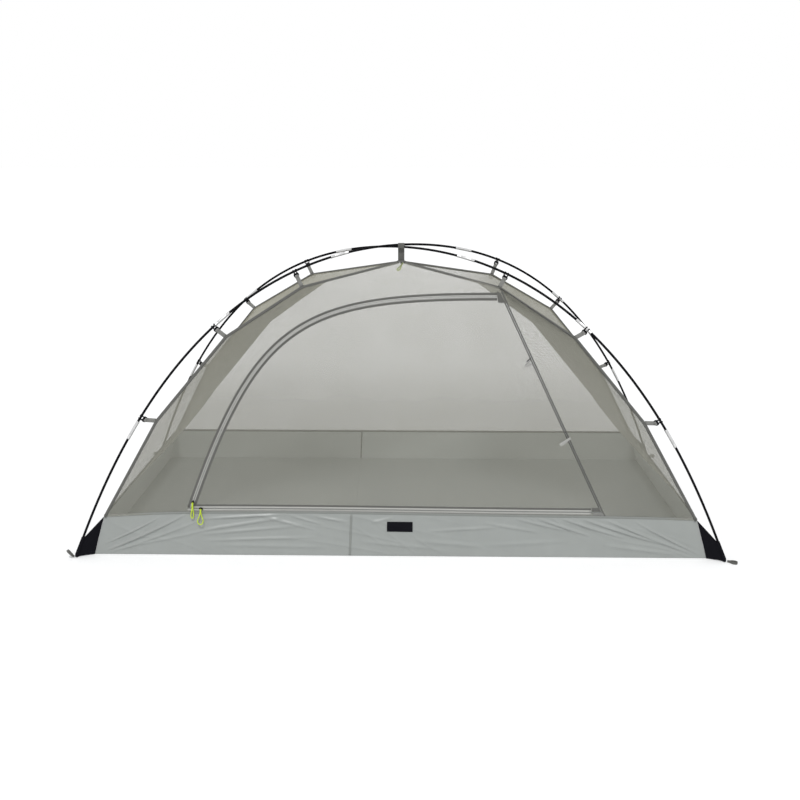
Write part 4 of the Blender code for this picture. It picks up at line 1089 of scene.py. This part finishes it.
patch_grid = grid(patch_point, 24, 10, PATCH_LENGTH, PATCH_CUT_HEIGHT)
bare_patch = Shape().add(*patch_grid).make("bare_patch", "tent", BLACK_CLOTH)
across, up = np.linspace(0, 1, 12)[:-1], np.linspace(0, 1, 6)[:-1]
border = [(a, 0.0) for a in across] + [(1.0, b) for b in up]
border += [(1 - a, 1.0) for a in across] + [(0.0, 1 - b) for b in up]
rim = sweep([patch_point(*spot) for spot in border], circle(PATCH_EDGE, 8), (0, 1, 0), closed=True)
Shape().add(*rim).make("patch_edge", "tent", BLACK_CLOTH)
print("bare patch", PATCH_LENGTH, "by", PATCH_HEIGHT)

# %% [markdown]
# ## Corner gussets and stake loops
# A black gusset ties each corner of the tub to the pole: two layers of cloth, with the pole's foot in a
# sleeve between them. It is drawn as an outline over the floor's diagonal, filled with small faces, and its
# two sides stand apart by the sleeve's thickness near the pole and by the hem's at its edges.

# %% Filling an outline with faces
ROW_SHARE, INSIDE_SHARE = 0.87, 0.45  # shares of the spacing, between rows and in from the outline


def fill_outline(outline, spacing):
    """Points and triangles that fill an outline, with an even spread of points inside it."""
    outline = np.asarray(outline, float)
    low, high = outline.min(0), outline.max(0)
    columns, rows = np.arange(low[0], high[0], spacing), np.arange(low[1], high[1], spacing * ROW_SHARE)
    spots = np.array([(x + (row % 2) * spacing / 2, y) for row, y in enumerate(rows) for x in columns])
    x, y = spots.T
    crossed, nearest = np.zeros(len(x), int), np.full(len(x), np.inf)
    for start, end in zip(outline, np.roll(outline, -1, 0)):
        span = end - start
        if span[1]:
            crossed += ((start[1] > y) != (end[1] > y)) & (x < span[0] * (y - start[1]) / span[1] + start[0])
        share = np.clip(((x - start[0]) * span[0] + (y - start[1]) * span[1]) / max(span @ span, 1e-12), 0, 1)
        away = np.hypot(x - start[0] - share * span[0], y - start[1] - share * span[1])
        nearest = np.minimum(nearest, away)
    inner = spots[(crossed % 2 == 1) & (nearest > INSIDE_SHARE * spacing)]
    made = delaunay_2d_cdt([tuple(spot) for spot in np.vstack([outline, inner])], [],
                           [list(range(len(outline)))], 1, 1e-7)
    return [tuple(spot) for spot in made[0]], [tuple(face) for face in made[2]]


def divided(corners, step):
    """An outline with points added so that none are further apart than step."""
    spots = []
    for start, end in zip(corners, [*corners[1:], corners[0]]):
        count = max(1, math.ceil(math.dist(start, end) / step))
        spots += [tuple(np.array(start) + (np.array(end) - start) * i / count) for i in range(count)]
    return spots


print("a unit square divided by quarters has", len(divided([(0, 0), (1, 0), (1, 1), (0, 1)], 0.25)), "points")

# %% Gussets
GUSSET_TIP, MOUTH_HEIGHT, MOUTH_HALF, RIM_STEP = 0.006, 0.068, 0.0065, 0.004
SLEEVE_HALF, SLEEVE_FADE, SLEEVE_REACH = 0.0056, 0.6, 0.0075
CLOTH_HALF, HEM_HALF, HEM_WIDTH = 0.0012, 0.0005, 0.007


def gusset_outline(slope):
    """Reach and height, from the tub's foot out under the tip, up the sleeve and back to the wall's top."""
    mouth, tip = FOOT - MOUTH_HEIGHT / abs(slope), FOOT + GUSSET_TIP
    across = unit([-slope, 1]) * MOUTH_HALF
    return [(CORNER_REACH + SHEET_BASE, SHEET_BASE), (CORNER_REACH + 0.045, 0.0028),
            (tip - 0.006, SHEET_BASE), (tip, 0.004), (tip - 0.001, 0.012),
            (mouth + across[0], MOUTH_HEIGHT + across[1]),
            (mouth - across[0], MOUTH_HEIGHT - across[1] + MOUTH_HALF),
            (RIDGE[0][0] + SHEET_BASE, WALL_HEIGHT)]


def gusset(corner):
    """Two layers of cloth, parted by the sleeve along the pole and by the hem at their edges."""
    right, back = CORNERS[corner]
    slope = pole_slope(FOOT, ARCHES[right * back].crown)
    outline = gusset_outline(slope)
    rim = divided(outline, RIM_STEP)
    spots, faces = fill_outline(rim, RIM_STEP)
    foot, direction = np.array([FOOT, FOOT_LIFT]), unit([1, slope])
    top, top_way = np.array(outline[-1]), unit(np.array(outline[-2]) - np.array(outline[-1]))
    points = []
    for side in (1, -1):
        for spot in spots:
            gap = abs(np.cross(direction, np.array(spot) - foot))
            hem = abs(np.cross(top_way, np.array(spot) - top))
            sleeve = math.sqrt(max(0, SLEEVE_HALF**2 - gap**2))
            web = CLOTH_HALF + (HEM_HALF if hem < HEM_WIDTH or spot[1] < HEM_WIDTH else 0)
            blend = SLEEVE_HALF - SLEEVE_FADE * gap if gap < SLEEVE_REACH else 0
            points.append(on_diagonal(corner, *spot, side * max(sleeve, web, blend)))
    count = len(spots)
    both = [face if right * back < 0 else face[::-1] for face in faces]
    both += [tuple(count + index for index in face[::-1]) for face in both]
    flat = [[spots[index % count] for index in face] for face in both]
    edge = list(range(len(rim)))
    for a, b in zip(edge, [*edge[1:], edge[0]]):
        both.append((a, b, count + b, count + a))
        flat.append([spots[a], spots[b], spots[b], spots[a]])
    return points, both, flat


for corner in CORNERS:
    Shape().add(*gusset(corner)).make(f"gusset_{corner}", "tent", BLACK_CLOTH, "black_fabric",
                                      [f"corner_gusset_{corner}"])
print("gussets", len(CORNERS))

# %% Stake loops
LOOP_GAP, LOOP_WIDTH, LOOP_THICKNESS, LOOP_EDGE = CLEARANCE + 0.004, 0.0078, 0.0015, 0.0005
LOOP_ROOT = (FOOT + GUSSET_TIP + LOOP_GAP, LOOP_GAP)
LOOP_HALF = [(-0.001, 0.0008), (0.006, 0.0012), (0.014, 0.0062), (0.023, 0.0083), (0.03, 0.0058), (0.0325, 0)]
LIFTED = {"front_left": math.radians(55)}


def stake_loop(corner):
    """Webbing from the gusset's tip, out and round in a drop, and back."""
    right, back = CORNERS[corner]
    out = np.array([right * DIAGONAL[0], back * DIAGONAL[1], 0])
    aside = np.cross(out, UP)
    lift = LIFTED.get(corner, 0)
    forward, above = math.cos(lift) * out + math.sin(lift) * UP, math.cos(lift) * UP - math.sin(lift) * out
    root = LOOP_ROOT[0] * out + LOOP_ROOT[1] * UP
    outline = LOOP_HALF + [(x, -y) for x, y in reversed(LOOP_HALF[:-1])]
    path = smooth_path([root + x * forward + y * aside for x, y in outline], 60)
    return sweep(path, rounded(LOOP_WIDTH, LOOP_THICKNESS, LOOP_EDGE, 2), above)


for corner in CORNERS:
    Shape().add(*stake_loop(corner)).make(f"peg_loop_{corner}", f"stake_loop_{corner}", DARK_TAPE,
                                          "grey_webbing", [f"stake_loop_{corner}"])
print("stake loops", len(CORNERS), "one lifted by", round(math.degrees(LIFTED["front_left"])), "degrees")

# %% [markdown]
# ## Net panels
# The back and the ends are plain grids laid on the hollow surfaces. Netting this fine has no thickness to
# see, so a sheet is one layer of faces.

# %% Back and end panels
BACK_CUT, END_CUT, PANEL_CELLS = (2.06, 0.98), (0.99, 1.34), 48  # width and length of the cloth


def add_panel(name, place, width, length, node, finish):
    net = grid(place, PANEL_CELLS, PANEL_CELLS, width, length)
    panel = Shape().add(*net).make(name, "tent", finish, "grey_netting", [node])
    print(name, "area", round(area_of(panel), 4))


add_panel("back_net", lambda a, b: back_point(a, height_at(b)), *BACK_CUT, "net_back", BACK_NET)
add_panel("left_net", lambda a, b: end_point(-1, a, height_at(b)), *END_CUT, "net_left_end", LEFT_NET_SHADED)
add_panel("right_net", lambda a, b: end_point(1, a, height_at(b)), *END_CUT, "net_right_end", RIGHT_NET_SHADED)

# %% [markdown]
# ## The front: arch, side panel and door
# The front is one hollow surface, cut along the zip's arc, the lower zip and the hinge seam. Its pieces are
# outlined flat, as X and height, filled with small faces, and then every point is moved onto the surface.

# %% One piece of the front's net, and its two level edges
NET_STEP, NET_RISE, DIP, DIP_START, DIP_LENGTH = 0.018, 0.001, 0.006, -0.65, 1.2


def net_piece(name, body, outline, node):
    spots, faces = fill_outline(outline, NET_STEP)
    points = [front_point(*spot) for spot in spots]
    shape = Shape().add(points, faces, [[spots[index] for index in face] for face in faces])
    piece = shape.make(name, body, NET, "grey_netting", [node])
    print(name, "flat", np.ptp(np.array(outline), axis=0).round(3), "area", round(area_of(piece), 4))
    return piece


def foot_height(x):
    """The height of the door's lower zip at this X: it dips a little towards the hinge."""
    share = min(max((x - DIP_START) / DIP_LENGTH, 0), 1)
    return DOOR_FOOT - DIP * share * share * (3 - 2 * share)


def net_foot(x):
    """The height of the front net's lower edge, inside the wall's binding."""
    return wall_top(x) + NET_RISE

# %% The arch round the door
ARCH_GAP, SEAM_INSET, HINGE_OVERLAP = 0.011, 0.002, 0.001
STRIP_TOP_START, STRIP_TOP_END, STRIP_FOOT_START, STRIP_FOOT_END = 0.004, 0.7, 0.012, 0.711
outer_arc = zip_line(ARCH_GAP)
rise = [NET_START + (NET_TOP - NET_START) * share for share in np.linspace(0, 1, 70)]
left_side = [(-ridge_reach(h) * DIAGONAL[0] + SEAM_INSET, h) for h in rise]
right_side = [(ridge_reach(h) * DIAGONAL[0] - SEAM_INSET, h) for h in reversed(rise) if h > HINGE_TOP[2]]
hinge_part = [(hinge_at(h)[0] - HINGE_GAP, h)
              for h in np.linspace(HINGE_TOP[2] - SEAM_INSET, outer_arc[-1][1] + HINGE_OVERLAP, 3)]
strip_top = [(x, foot_height(x) - SEAM_INSET)
             for x in np.linspace(outer_arc[0][0] + STRIP_TOP_START, STRIP_TOP_END, 90)]
strip_foot = [(x, net_foot(x)) for x in np.linspace(STRIP_FOOT_END, left_side[0][0] + STRIP_FOOT_START, 110)]
arch_outline = left_side + right_side + hinge_part + [tuple(spot) for spot in outer_arc[::-1]]
arch_net = net_piece("arch_net", "tent", arch_outline + strip_top + strip_foot, "net_front_arch")

# %% The door leaf
LEAF_FOOT_GAP, LEAF_TOP_DROP, LEAF_END = 0.0022, 0.004, 0.71
inner_arc = zip_line(-SEAM_INSET)
inner_arc = inner_arc[inner_arc[:, 1] > DOOR_FOOT + LEAF_FOOT_GAP]
hinge_rise = np.linspace(inner_arc[-1][1] - LEAF_TOP_DROP, foot_height(LEAF_END) + SEAM_INSET, 60)
right_edge = [(hinge_at(h)[0] - HINGE_GAP, h) for h in hinge_rise]
foot_edge = [(x, foot_height(x) + SEAM_INSET)
             for x in np.linspace(right_edge[-1][0], inner_arc[0][0], 90)[1:-1]]
leaf_outline = [tuple(spot) for spot in inner_arc] + right_edge + foot_edge
leaf_net = net_piece("door_net", "door", leaf_outline, "door_leaf")

# %% The side panel
SIDE_START, SIDE_WIDTH, SIDE_LENGTH, SIDE_DROP = 0.72, 0.31, 0.9, 0.018
side_top = HINGE_TOP[2] - SIDE_DROP


def side_place(across, up):
    foot = net_foot(SIDE_START + SIDE_WIDTH * across)
    return side_point(across, foot + up * (side_top - foot))


side_shape = Shape().add(*grid(side_place, 14, 44, SIDE_WIDTH, SIDE_LENGTH))
side_net = side_shape.make("side_net", "tent", NET, "grey_netting", ["net_front_side"])
print("side_net area", round(area_of(side_net), 4))

# %% [markdown]
# ## Zips and hems
# The door's arc is edged by a dark hem on each side with the pale zip tape between, and a pale tape with a
# dark hem runs along its foot. Each is a flat band carried along a line on the front surface. The halves
# that belong to the tent ride on it and the others ride on the door, so that they part where the real zip
# does.

# %% Bands on the front
BESIDE_STEP, BAND_EDGE_SHARE = 0.002, 0.9


def front_band(line, near, far, half, stand=0.0):
    """A band between two distances from a line on the front, as thick as twice half."""
    line = np.asarray(line, float)
    ahead = unit(np.gradient(line, axis=0))
    outwards = np.stack([-ahead[:, 1], ahead[:, 0]], 1)
    middle = line + outwards * (near + far) / 2
    path = np.array([front_point(*spot, stand) for spot in middle])
    beside = np.array([front_point(*spot, stand) for spot in middle + BESIDE_STEP * outwards]) - path
    return sweep(path, rounded(abs(far - near), 2 * half, half * BAND_EDGE_SHARE, 2), beside)


def add_band(name, body, line, near, far, half, finish, node=(), stand=0.0):
    shape = Shape().add(*front_band(line, near, far, half, stand))
    return shape.make(name, body, finish, "grey_webbing", node)

# %% The arc's zip and hems
TAPE_END, HEM_END, GAP, SEWN = 0.0052, 0.0138, 0.0012, 0.0003
TAPE_HALF, HEM_HALF_THICK, COIL_HALF, COIL_STAND = 0.0006, 0.0009, 0.001, 0.0008
ARC_END, DOOR_ARC_START = 0.352, 0.012
arc = zip_line(0.0, 150)
arc = arc[arc[:, 0] < ARC_END]
door_arc = arc[arc[:, 1] > DOOR_FOOT + DOOR_ARC_START]
add_band("arc_zip_tape_outer", "tent", arc, 0.0004, TAPE_END, TAPE_HALF, LIGHT_TAPE, ["door_zip_tape"])
add_band("arc_hem_outer", "tent", arc, TAPE_END - SEWN, HEM_END, HEM_HALF_THICK, DARK_TAPE)
add_band("arc_zip_tape_inner", "door", door_arc, -TAPE_END, -GAP, TAPE_HALF, LIGHT_TAPE)
add_band("arc_hem_inner", "door", door_arc, -HEM_END, SEWN - TAPE_END, HEM_HALF_THICK, DARK_TAPE)
add_band("arc_coil_outer", "tent", arc, 0.0002, 0.0016, COIL_HALF, GREY_STRAP, stand=COIL_STAND)
add_band("arc_coil_inner", "door", door_arc, -0.0024, -GAP, COIL_HALF, LIGHT_TAPE, stand=COIL_STAND)
print("arc's bands end at height", round(float(arc[-1][1]), 4))

# %% The lower zip and hem
ZIP_START, DOOR_ZIP_START, ZIP_END = -0.742, -0.722, 0.67
foot_line = np.array([(x, foot_height(x)) for x in np.linspace(ZIP_START, ZIP_END, 110)])
door_foot_line = np.array([(x, foot_height(x)) for x in np.linspace(DOOR_ZIP_START, ZIP_END, 110)])
add_band("foot_zip_tape", "tent", foot_line, -0.0075, -0.0003, TAPE_HALF, LIGHT_TAPE)
add_band("foot_coil", "tent", foot_line, -0.001, -0.0002, COIL_HALF, GREY_STRAP, stand=COIL_STAND)
add_band("foot_zip_tape_inner", "door", door_foot_line, GAP, 0.0068, TAPE_HALF, LIGHT_TAPE)
add_band("foot_hem", "door", door_foot_line, 0.0065, 0.013, HEM_HALF_THICK, DARK_TAPE)
print("lower zip", round(ZIP_END - ZIP_START, 3), "long")

# %% Hinge seam
SEAM_START, SEAM_DROP, DOOR_SEAM_START, DOOR_SEAM_STOP = 0.1435, 0.012, 0.001, 0.86
TENT_SIDE, DOOR_SIDE = (0.0029, -0.0003, 0.005), (-0.0038, 0.0002, 0.0046)  # beside, back and width
FOLD_THICKNESS, FOLD_EDGE = 0.0018, 0.0007
hinge_heights = np.linspace(SEAM_START, HINGE_TOP[2] - SEAM_DROP, 50)
door_heights = hinge_heights[(hinge_heights > DOOR_FOOT + DOOR_SEAM_START) & (hinge_heights < DOOR_SEAM_STOP)]
for name, body, heights, (beside, back, width) in (("hinge_seam", "tent", hinge_heights, TENT_SIDE),
                                                   ("door_seam", "door", door_heights, DOOR_SIDE)):
    path = [hinge_at(height, beside) + np.array([0, back, 0]) for height in heights]
    fold = sweep(path, rounded(width, FOLD_THICKNESS, FOLD_EDGE, 2), unit(np.array([1.0, -0.05, 0])))
    Shape().add(*fold).make(name, body, DARK_TAPE, "grey_webbing")
    print(name, "from", round(heights[0], 3), "to", round(heights[-1], 3), "high")

# %% Strengthening patches at the hinge's ends
FACING_STAND, FACING_CUT = 0.0013, (0.05, 0.03)
FACING_LEFT, FACING_TOP, FACING_GAP, SILL_FOOT, TOP_FACING_FOOT = 0.673, 0.172, 0.0035, 0.148, 0.8455


def add_facing(name, body, corners, rows, finish):
    """A four-cornered patch on the front, from its corners as X and height."""
    low_left, low_right, high_right, high_left = [np.array(corner) for corner in corners]

    def place(a, b):
        low, high = low_left + (low_right - low_left) * a, high_left + (high_right - high_left) * a
        return front_point(*(low + (high - low) * b), FACING_STAND)

    Shape().add(*grid(place, 8, rows, *FACING_CUT)).make(name, body, finish, "grey_webbing")
    print(name, "corners", [tuple(round(float(value), 3) for value in corner) for corner in corners])


low_end = hinge_at(foot_height(0.705) + SEAM_INSET, -FACING_GAP)[0]
high_end = hinge_at(FACING_TOP, -FACING_GAP)[0]
add_facing("door_foot_patch", "door", [
    (FACING_LEFT, foot_height(0.69) + SEAM_INSET), (low_end, foot_height(0.7) + SEAM_INSET),
    (high_end, FACING_TOP), (FACING_LEFT, FACING_TOP)], 6, DARK_TAPE)
add_facing("sill_patch", "tent", [
    (0.677, SILL_FOOT), (0.7175, SILL_FOOT), (0.709, foot_height(0.71) - 0.001),
    (0.674, foot_height(0.69) - 0.001)], 6, GREY_STRAP)
add_facing("door_top_patch", "tent", [
    (0.352, TOP_FACING_FOOT), (0.377, TOP_FACING_FOOT), (0.362, 0.876), (0.348, 0.886)], 10, DARK_TAPE)

# %% [markdown]
# ## Sliders, pulls and tie-backs
# Two sliders meet at the door's lower left corner, each with a loop of lime cord. On the hinge side a webbing
# tab and a toggle wait to hold the rolled door.

# %% Sliders and pulls
# Each slider's middle, the way it faces, and the hole that its pull hangs from
SLIDERS = {
    "arc_slider": ((-0.72317, -0.48235, 0.18474), (0.02548, -0.93981, 0.34073), (-0.7231, -0.49198, 0.18572)),
    "bottom_slider": ((-0.6945, -0.4894, 0.164), (0.01713, -0.93569, 0.3524), (-0.69445, -0.49901, 0.165)),
}
SLIDES = {joint["child"]: joint for joint in frame["joints"]}
SLIDER_SHARES = (0.62, 0.8, 0.95, 1.0, 0.98, 0.9, 0.8, 0.72, 0.6)
SLIDER_HALF, SLIDER_WIDTH, PLATE_THICKNESS, PLATE_EDGE = 0.0065, 0.009, 0.0011, 0.0005
PLATE_STANDS = (0.0018, 0.0038)
BRIDGE_WIDTH, BRIDGE_TOP, BRIDGE_RISE = 0.0028, 0.004, ((0.004, 0.0036), (0.0035, 0.0052))
POST_WIDTH, POST_EDGE, POST_STANDS = 0.0035, 0.001, (0.001, 0.0045)
TAB_WIDTH, TAB_HEIGHT, TAB_EDGE, TAB_START = 0.0016, 0.0052, 0.0006, 0.004


def slider_shape(which):
    """Two plates with a post between them, and the bridge and tab that hold the pull."""
    start, normal, hole = (np.array(row) for row in SLIDERS[which])
    travel = np.array(SLIDES[which]["axis"], float)
    across = np.cross(normal, travel)
    shape = Shape()
    at = np.linspace(-SLIDER_HALF, SLIDER_HALF, len(SLIDER_SHARES))
    widths = np.stack([SLIDER_SHARES, np.ones(len(SLIDER_SHARES))], 1)
    for stand in PLATE_STANDS:
        path = start + at[:, None] * travel + stand * normal
        shape.add(*sweep(path, rounded(SLIDER_WIDTH, PLATE_THICKNESS, PLATE_EDGE, 2), across, widths))
    bridge = [start - ahead * travel + stand * normal for ahead, stand in BRIDGE_RISE]
    bridge += [0.5 * hole + 0.5 * (start + BRIDGE_TOP * normal)]
    bridge += [start + ahead * travel + stand * normal for ahead, stand in reversed(BRIDGE_RISE)]
    shape.add(*sweep(smooth_path(bridge, 17), rounded(BRIDGE_WIDTH, PLATE_THICKNESS, PLATE_EDGE, 2), across))
    post = [start + stand * normal for stand in POST_STANDS]
    shape.add(*sweep(post, rounded(POST_WIDTH, POST_WIDTH, POST_EDGE, 2), travel))
    tab = [start + TAB_START * normal, hole + TAB_WIDTH * normal]
    return shape.add(*sweep(tab, rounded(TAB_WIDTH, TAB_HEIGHT, TAB_EDGE, 2), (1, 0, 0)))


PULL_LENGTH, PULL_TILT, PULL_WIDTHS = 0.053, math.radians(17), {"arc_slider": 0.009, "bottom_slider": 0.019}
for which, width in PULL_WIDTHS.items():
    slider_shape(which).make(f"{which}_body", which, PLASTIC, "black_plastic", [which])
    add_cord_loop(f"{which}_cord", SLIDERS[which][2], PULL_LENGTH, width, f"{which}_pull", f"{which}_pull",
                  tilt=PULL_TILT)

# %% Tie-backs on the door's hinge side
# X, height and how far it stands out, along each piece of webbing
TAB_LINE = ((0.6035, 0.396, 0.0012), (0.592, 0.389, 0.0022), (0.58, 0.3815, 0.0026), (0.565, 0.3725, 0.0016))
LOOP_LINE = ((0.4705, 0.649, 0.0012), (0.466, 0.6525, 0.0022), (0.457, 0.645, 0.0025),
             (0.4475, 0.634, 0.0025), (0.454, 0.6325, 0.0025), (0.464, 0.638, 0.0022), (0.471, 0.642, 0.0012))
TIE_WIDTH, TIE_THICKNESS, TIE_EDGE, TIE_CORD = 0.0145, 0.0014, 0.0005, 0.001
TOGGLE_X, TOGGLE_HEIGHT, TOGGLE_RUN, TOGGLE_CLIMB = 0.4585, 0.6535, 0.0068, 0.0062
TOGGLE_STAND, TOGGLE_RADIUS = 0.0035, 0.0019
TOGGLE_SHARES = (0.55, 0.85, 1, 0.9, 0.8, 0.9, 1, 0.85, 0.55)

tab_path = smooth_path([front_point(*spot) for spot in TAB_LINE], 24)
tab = sweep(tab_path, rounded(TIE_WIDTH, TIE_THICKNESS, TIE_EDGE, 2), (0.5, 0, 1))
Shape().add(*tab).make("tie_back_tab", "door", LIGHT_TAPE, "grey_webbing")
loop = sweep(smooth_path([front_point(*spot) for spot in LOOP_LINE], 36), circle(TIE_CORD, 8), (0, 1, 0))
Shape().add(*loop).make("tie_back_loop", "door", DARK_TAPE, "grey_webbing")
toggle_path = [front_point(TOGGLE_X + TOGGLE_RUN * share, TOGGLE_HEIGHT + TOGGLE_CLIMB * share, TOGGLE_STAND)
               for share in np.linspace(-1, 1, len(TOGGLE_SHARES))]
toggle = sweep(toggle_path, circle(TOGGLE_RADIUS, 12), (0, 1, 0), TOGGLE_SHARES)
Shape().add(*toggle).make("tie_back_toggle", "door", PLASTIC, "black_plastic")
print("toggle", round(2 * math.hypot(TOGGLE_RUN, TOGGLE_CLIMB), 4), "long")

# %% Gear rings under the back ridges
RING_OUT, RING_BACK, RING_DROP, RING_RADIUS, RING_CORD = 0.006, 0.012, 0.004, 0.006, 0.0011
for corner in ("back_left", "back_right"):
    seat = on_diagonal(corner, *RIDGE[3]) - np.array([RING_OUT * CORNERS[corner][0], RING_BACK, RING_DROP])
    turns = np.linspace(0, 2 * math.pi, 24, endpoint=False)
    path = [seat + RING_RADIUS * np.array([math.sin(turn), 0, math.cos(turn) - 1]) for turn in turns]
    ring = Shape().add(*sweep(path, circle(RING_CORD, 8), (0, 1, 0), closed=True))
    ring.make(f"gear_ring_{corner}", "tent", GREY_PLASTIC, "grey_webbing")
    print("gear ring", corner, "at", seat.round(3))

# %% [markdown]
# ## Floor, light and camera
# The photograph has a plain white ground. The floor is a pale sheet that keeps the tent's soft shadow, the
# world is white where the camera sees it, and an even sky with one broad sun lights the tent so that colours
# render about as they are written.

# %% The floor
GROUND_REACH, GROUND_DROP, GROUND_WHITE = 60, 0.0005, (0.93, 0.93, 0.93)


def make_floor():
    mesh = bpy.data.meshes.new("studio_floor")
    turns = ((-1, -1), (1, -1), (1, 1), (-1, 1))
    corners = [(x * GROUND_REACH, y * GROUND_REACH, -GROUND_DROP) for x, y in turns]
    mesh.from_pydata(corners, [], [(0, 1, 2, 3)])
    floor = bpy.data.objects.new("studio_floor", mesh)
    bpy.context.scene.collection.objects.link(floor)
    paint = new_finish("studio_white", GROUND_WHITE, roughness=0.9, Specular_IOR_Level=0.0)
    seen = add_node(paint, "LightPath").outputs["Is Camera Ray"]
    colour_between(paint, seen, GROUND_WHITE, (1, 1, 1))
    mesh.materials.append(paint)


make_floor()
print("floor made", GROUND_REACH, "metres each way")

# %% The sky and the sun
SKY_COLOUR, SKY_STRENGTH = (0.98, 0.99, 1.0), 0.59
SUN_ENERGY, SUN_WIDTH, SUN_TURN = 1.8, math.radians(14), (math.radians(31), 0, math.radians(-4))


def make_world():
    """White where the camera looks, also by reflection or through a clear thing, and a soft sky as light."""
    world = bpy.data.worlds.new("studio")
    world.use_nodes = True
    bpy.context.scene.world = world
    nodes, links = world.node_tree.nodes, world.node_tree.links
    seen, light = nodes.new("ShaderNodeBackground"), nodes["Background"]
    for background, colour, strength in ((seen, (1, 1, 1), 1.0), (light, SKY_COLOUR, SKY_STRENGTH)):
        background.inputs["Color"].default_value = (*colour, 1)
        background.inputs["Strength"].default_value = strength
    path, mix = nodes.new("ShaderNodeLightPath"), nodes.new("ShaderNodeMixShader")
    either, both = nodes.new("ShaderNodeMath"), nodes.new("ShaderNodeMath")
    either.operation = both.operation = "MAXIMUM"
    links.new(path.outputs["Is Camera Ray"], either.inputs[0])
    links.new(path.outputs["Is Glossy Ray"], either.inputs[1])
    links.new(either.outputs[0], both.inputs[0])
    links.new(path.outputs["Is Transmission Ray"], both.inputs[1])
    links.new(both.outputs[0], mix.inputs["Fac"])
    links.new(light.outputs[0], mix.inputs[1])
    links.new(seen.outputs[0], mix.inputs[2])
    links.new(mix.outputs[0], nodes["World Output"].inputs["Surface"])


def make_sun():
    lamp = bpy.data.lights.new("broad_sun", "SUN")
    lamp.energy, lamp.angle = SUN_ENERGY, SUN_WIDTH
    sun = bpy.data.objects.new("broad_sun", lamp)
    bpy.context.scene.collection.objects.link(sun)
    sun.rotation_euler = SUN_TURN


make_world()
make_sun()
print("sky", SKY_STRENGTH, "sun", SUN_ENERGY)

# %% The camera, at the photograph's angle
CAMERA_PLACE, CAMERA_YAW, CAMERA_PITCH, LENS = (0.0513, -3.3905, 1.3808), -0.0165, 0.2747, 40.194
camera_data = bpy.data.cameras.new("photo_camera")
camera_data.lens = LENS
camera = bpy.data.objects.new("photo_camera", camera_data)
bpy.context.scene.collection.objects.link(camera)
camera.location = CAMERA_PLACE
camera.rotation_euler = (math.pi / 2 - CAMERA_PITCH, 0, -CAMERA_YAW)
bpy.context.scene.camera = camera
bpy.context.scene.view_settings.view_transform = "Standard"
print("camera at", CAMERA_PLACE, "with a lens of", LENS, "mm")
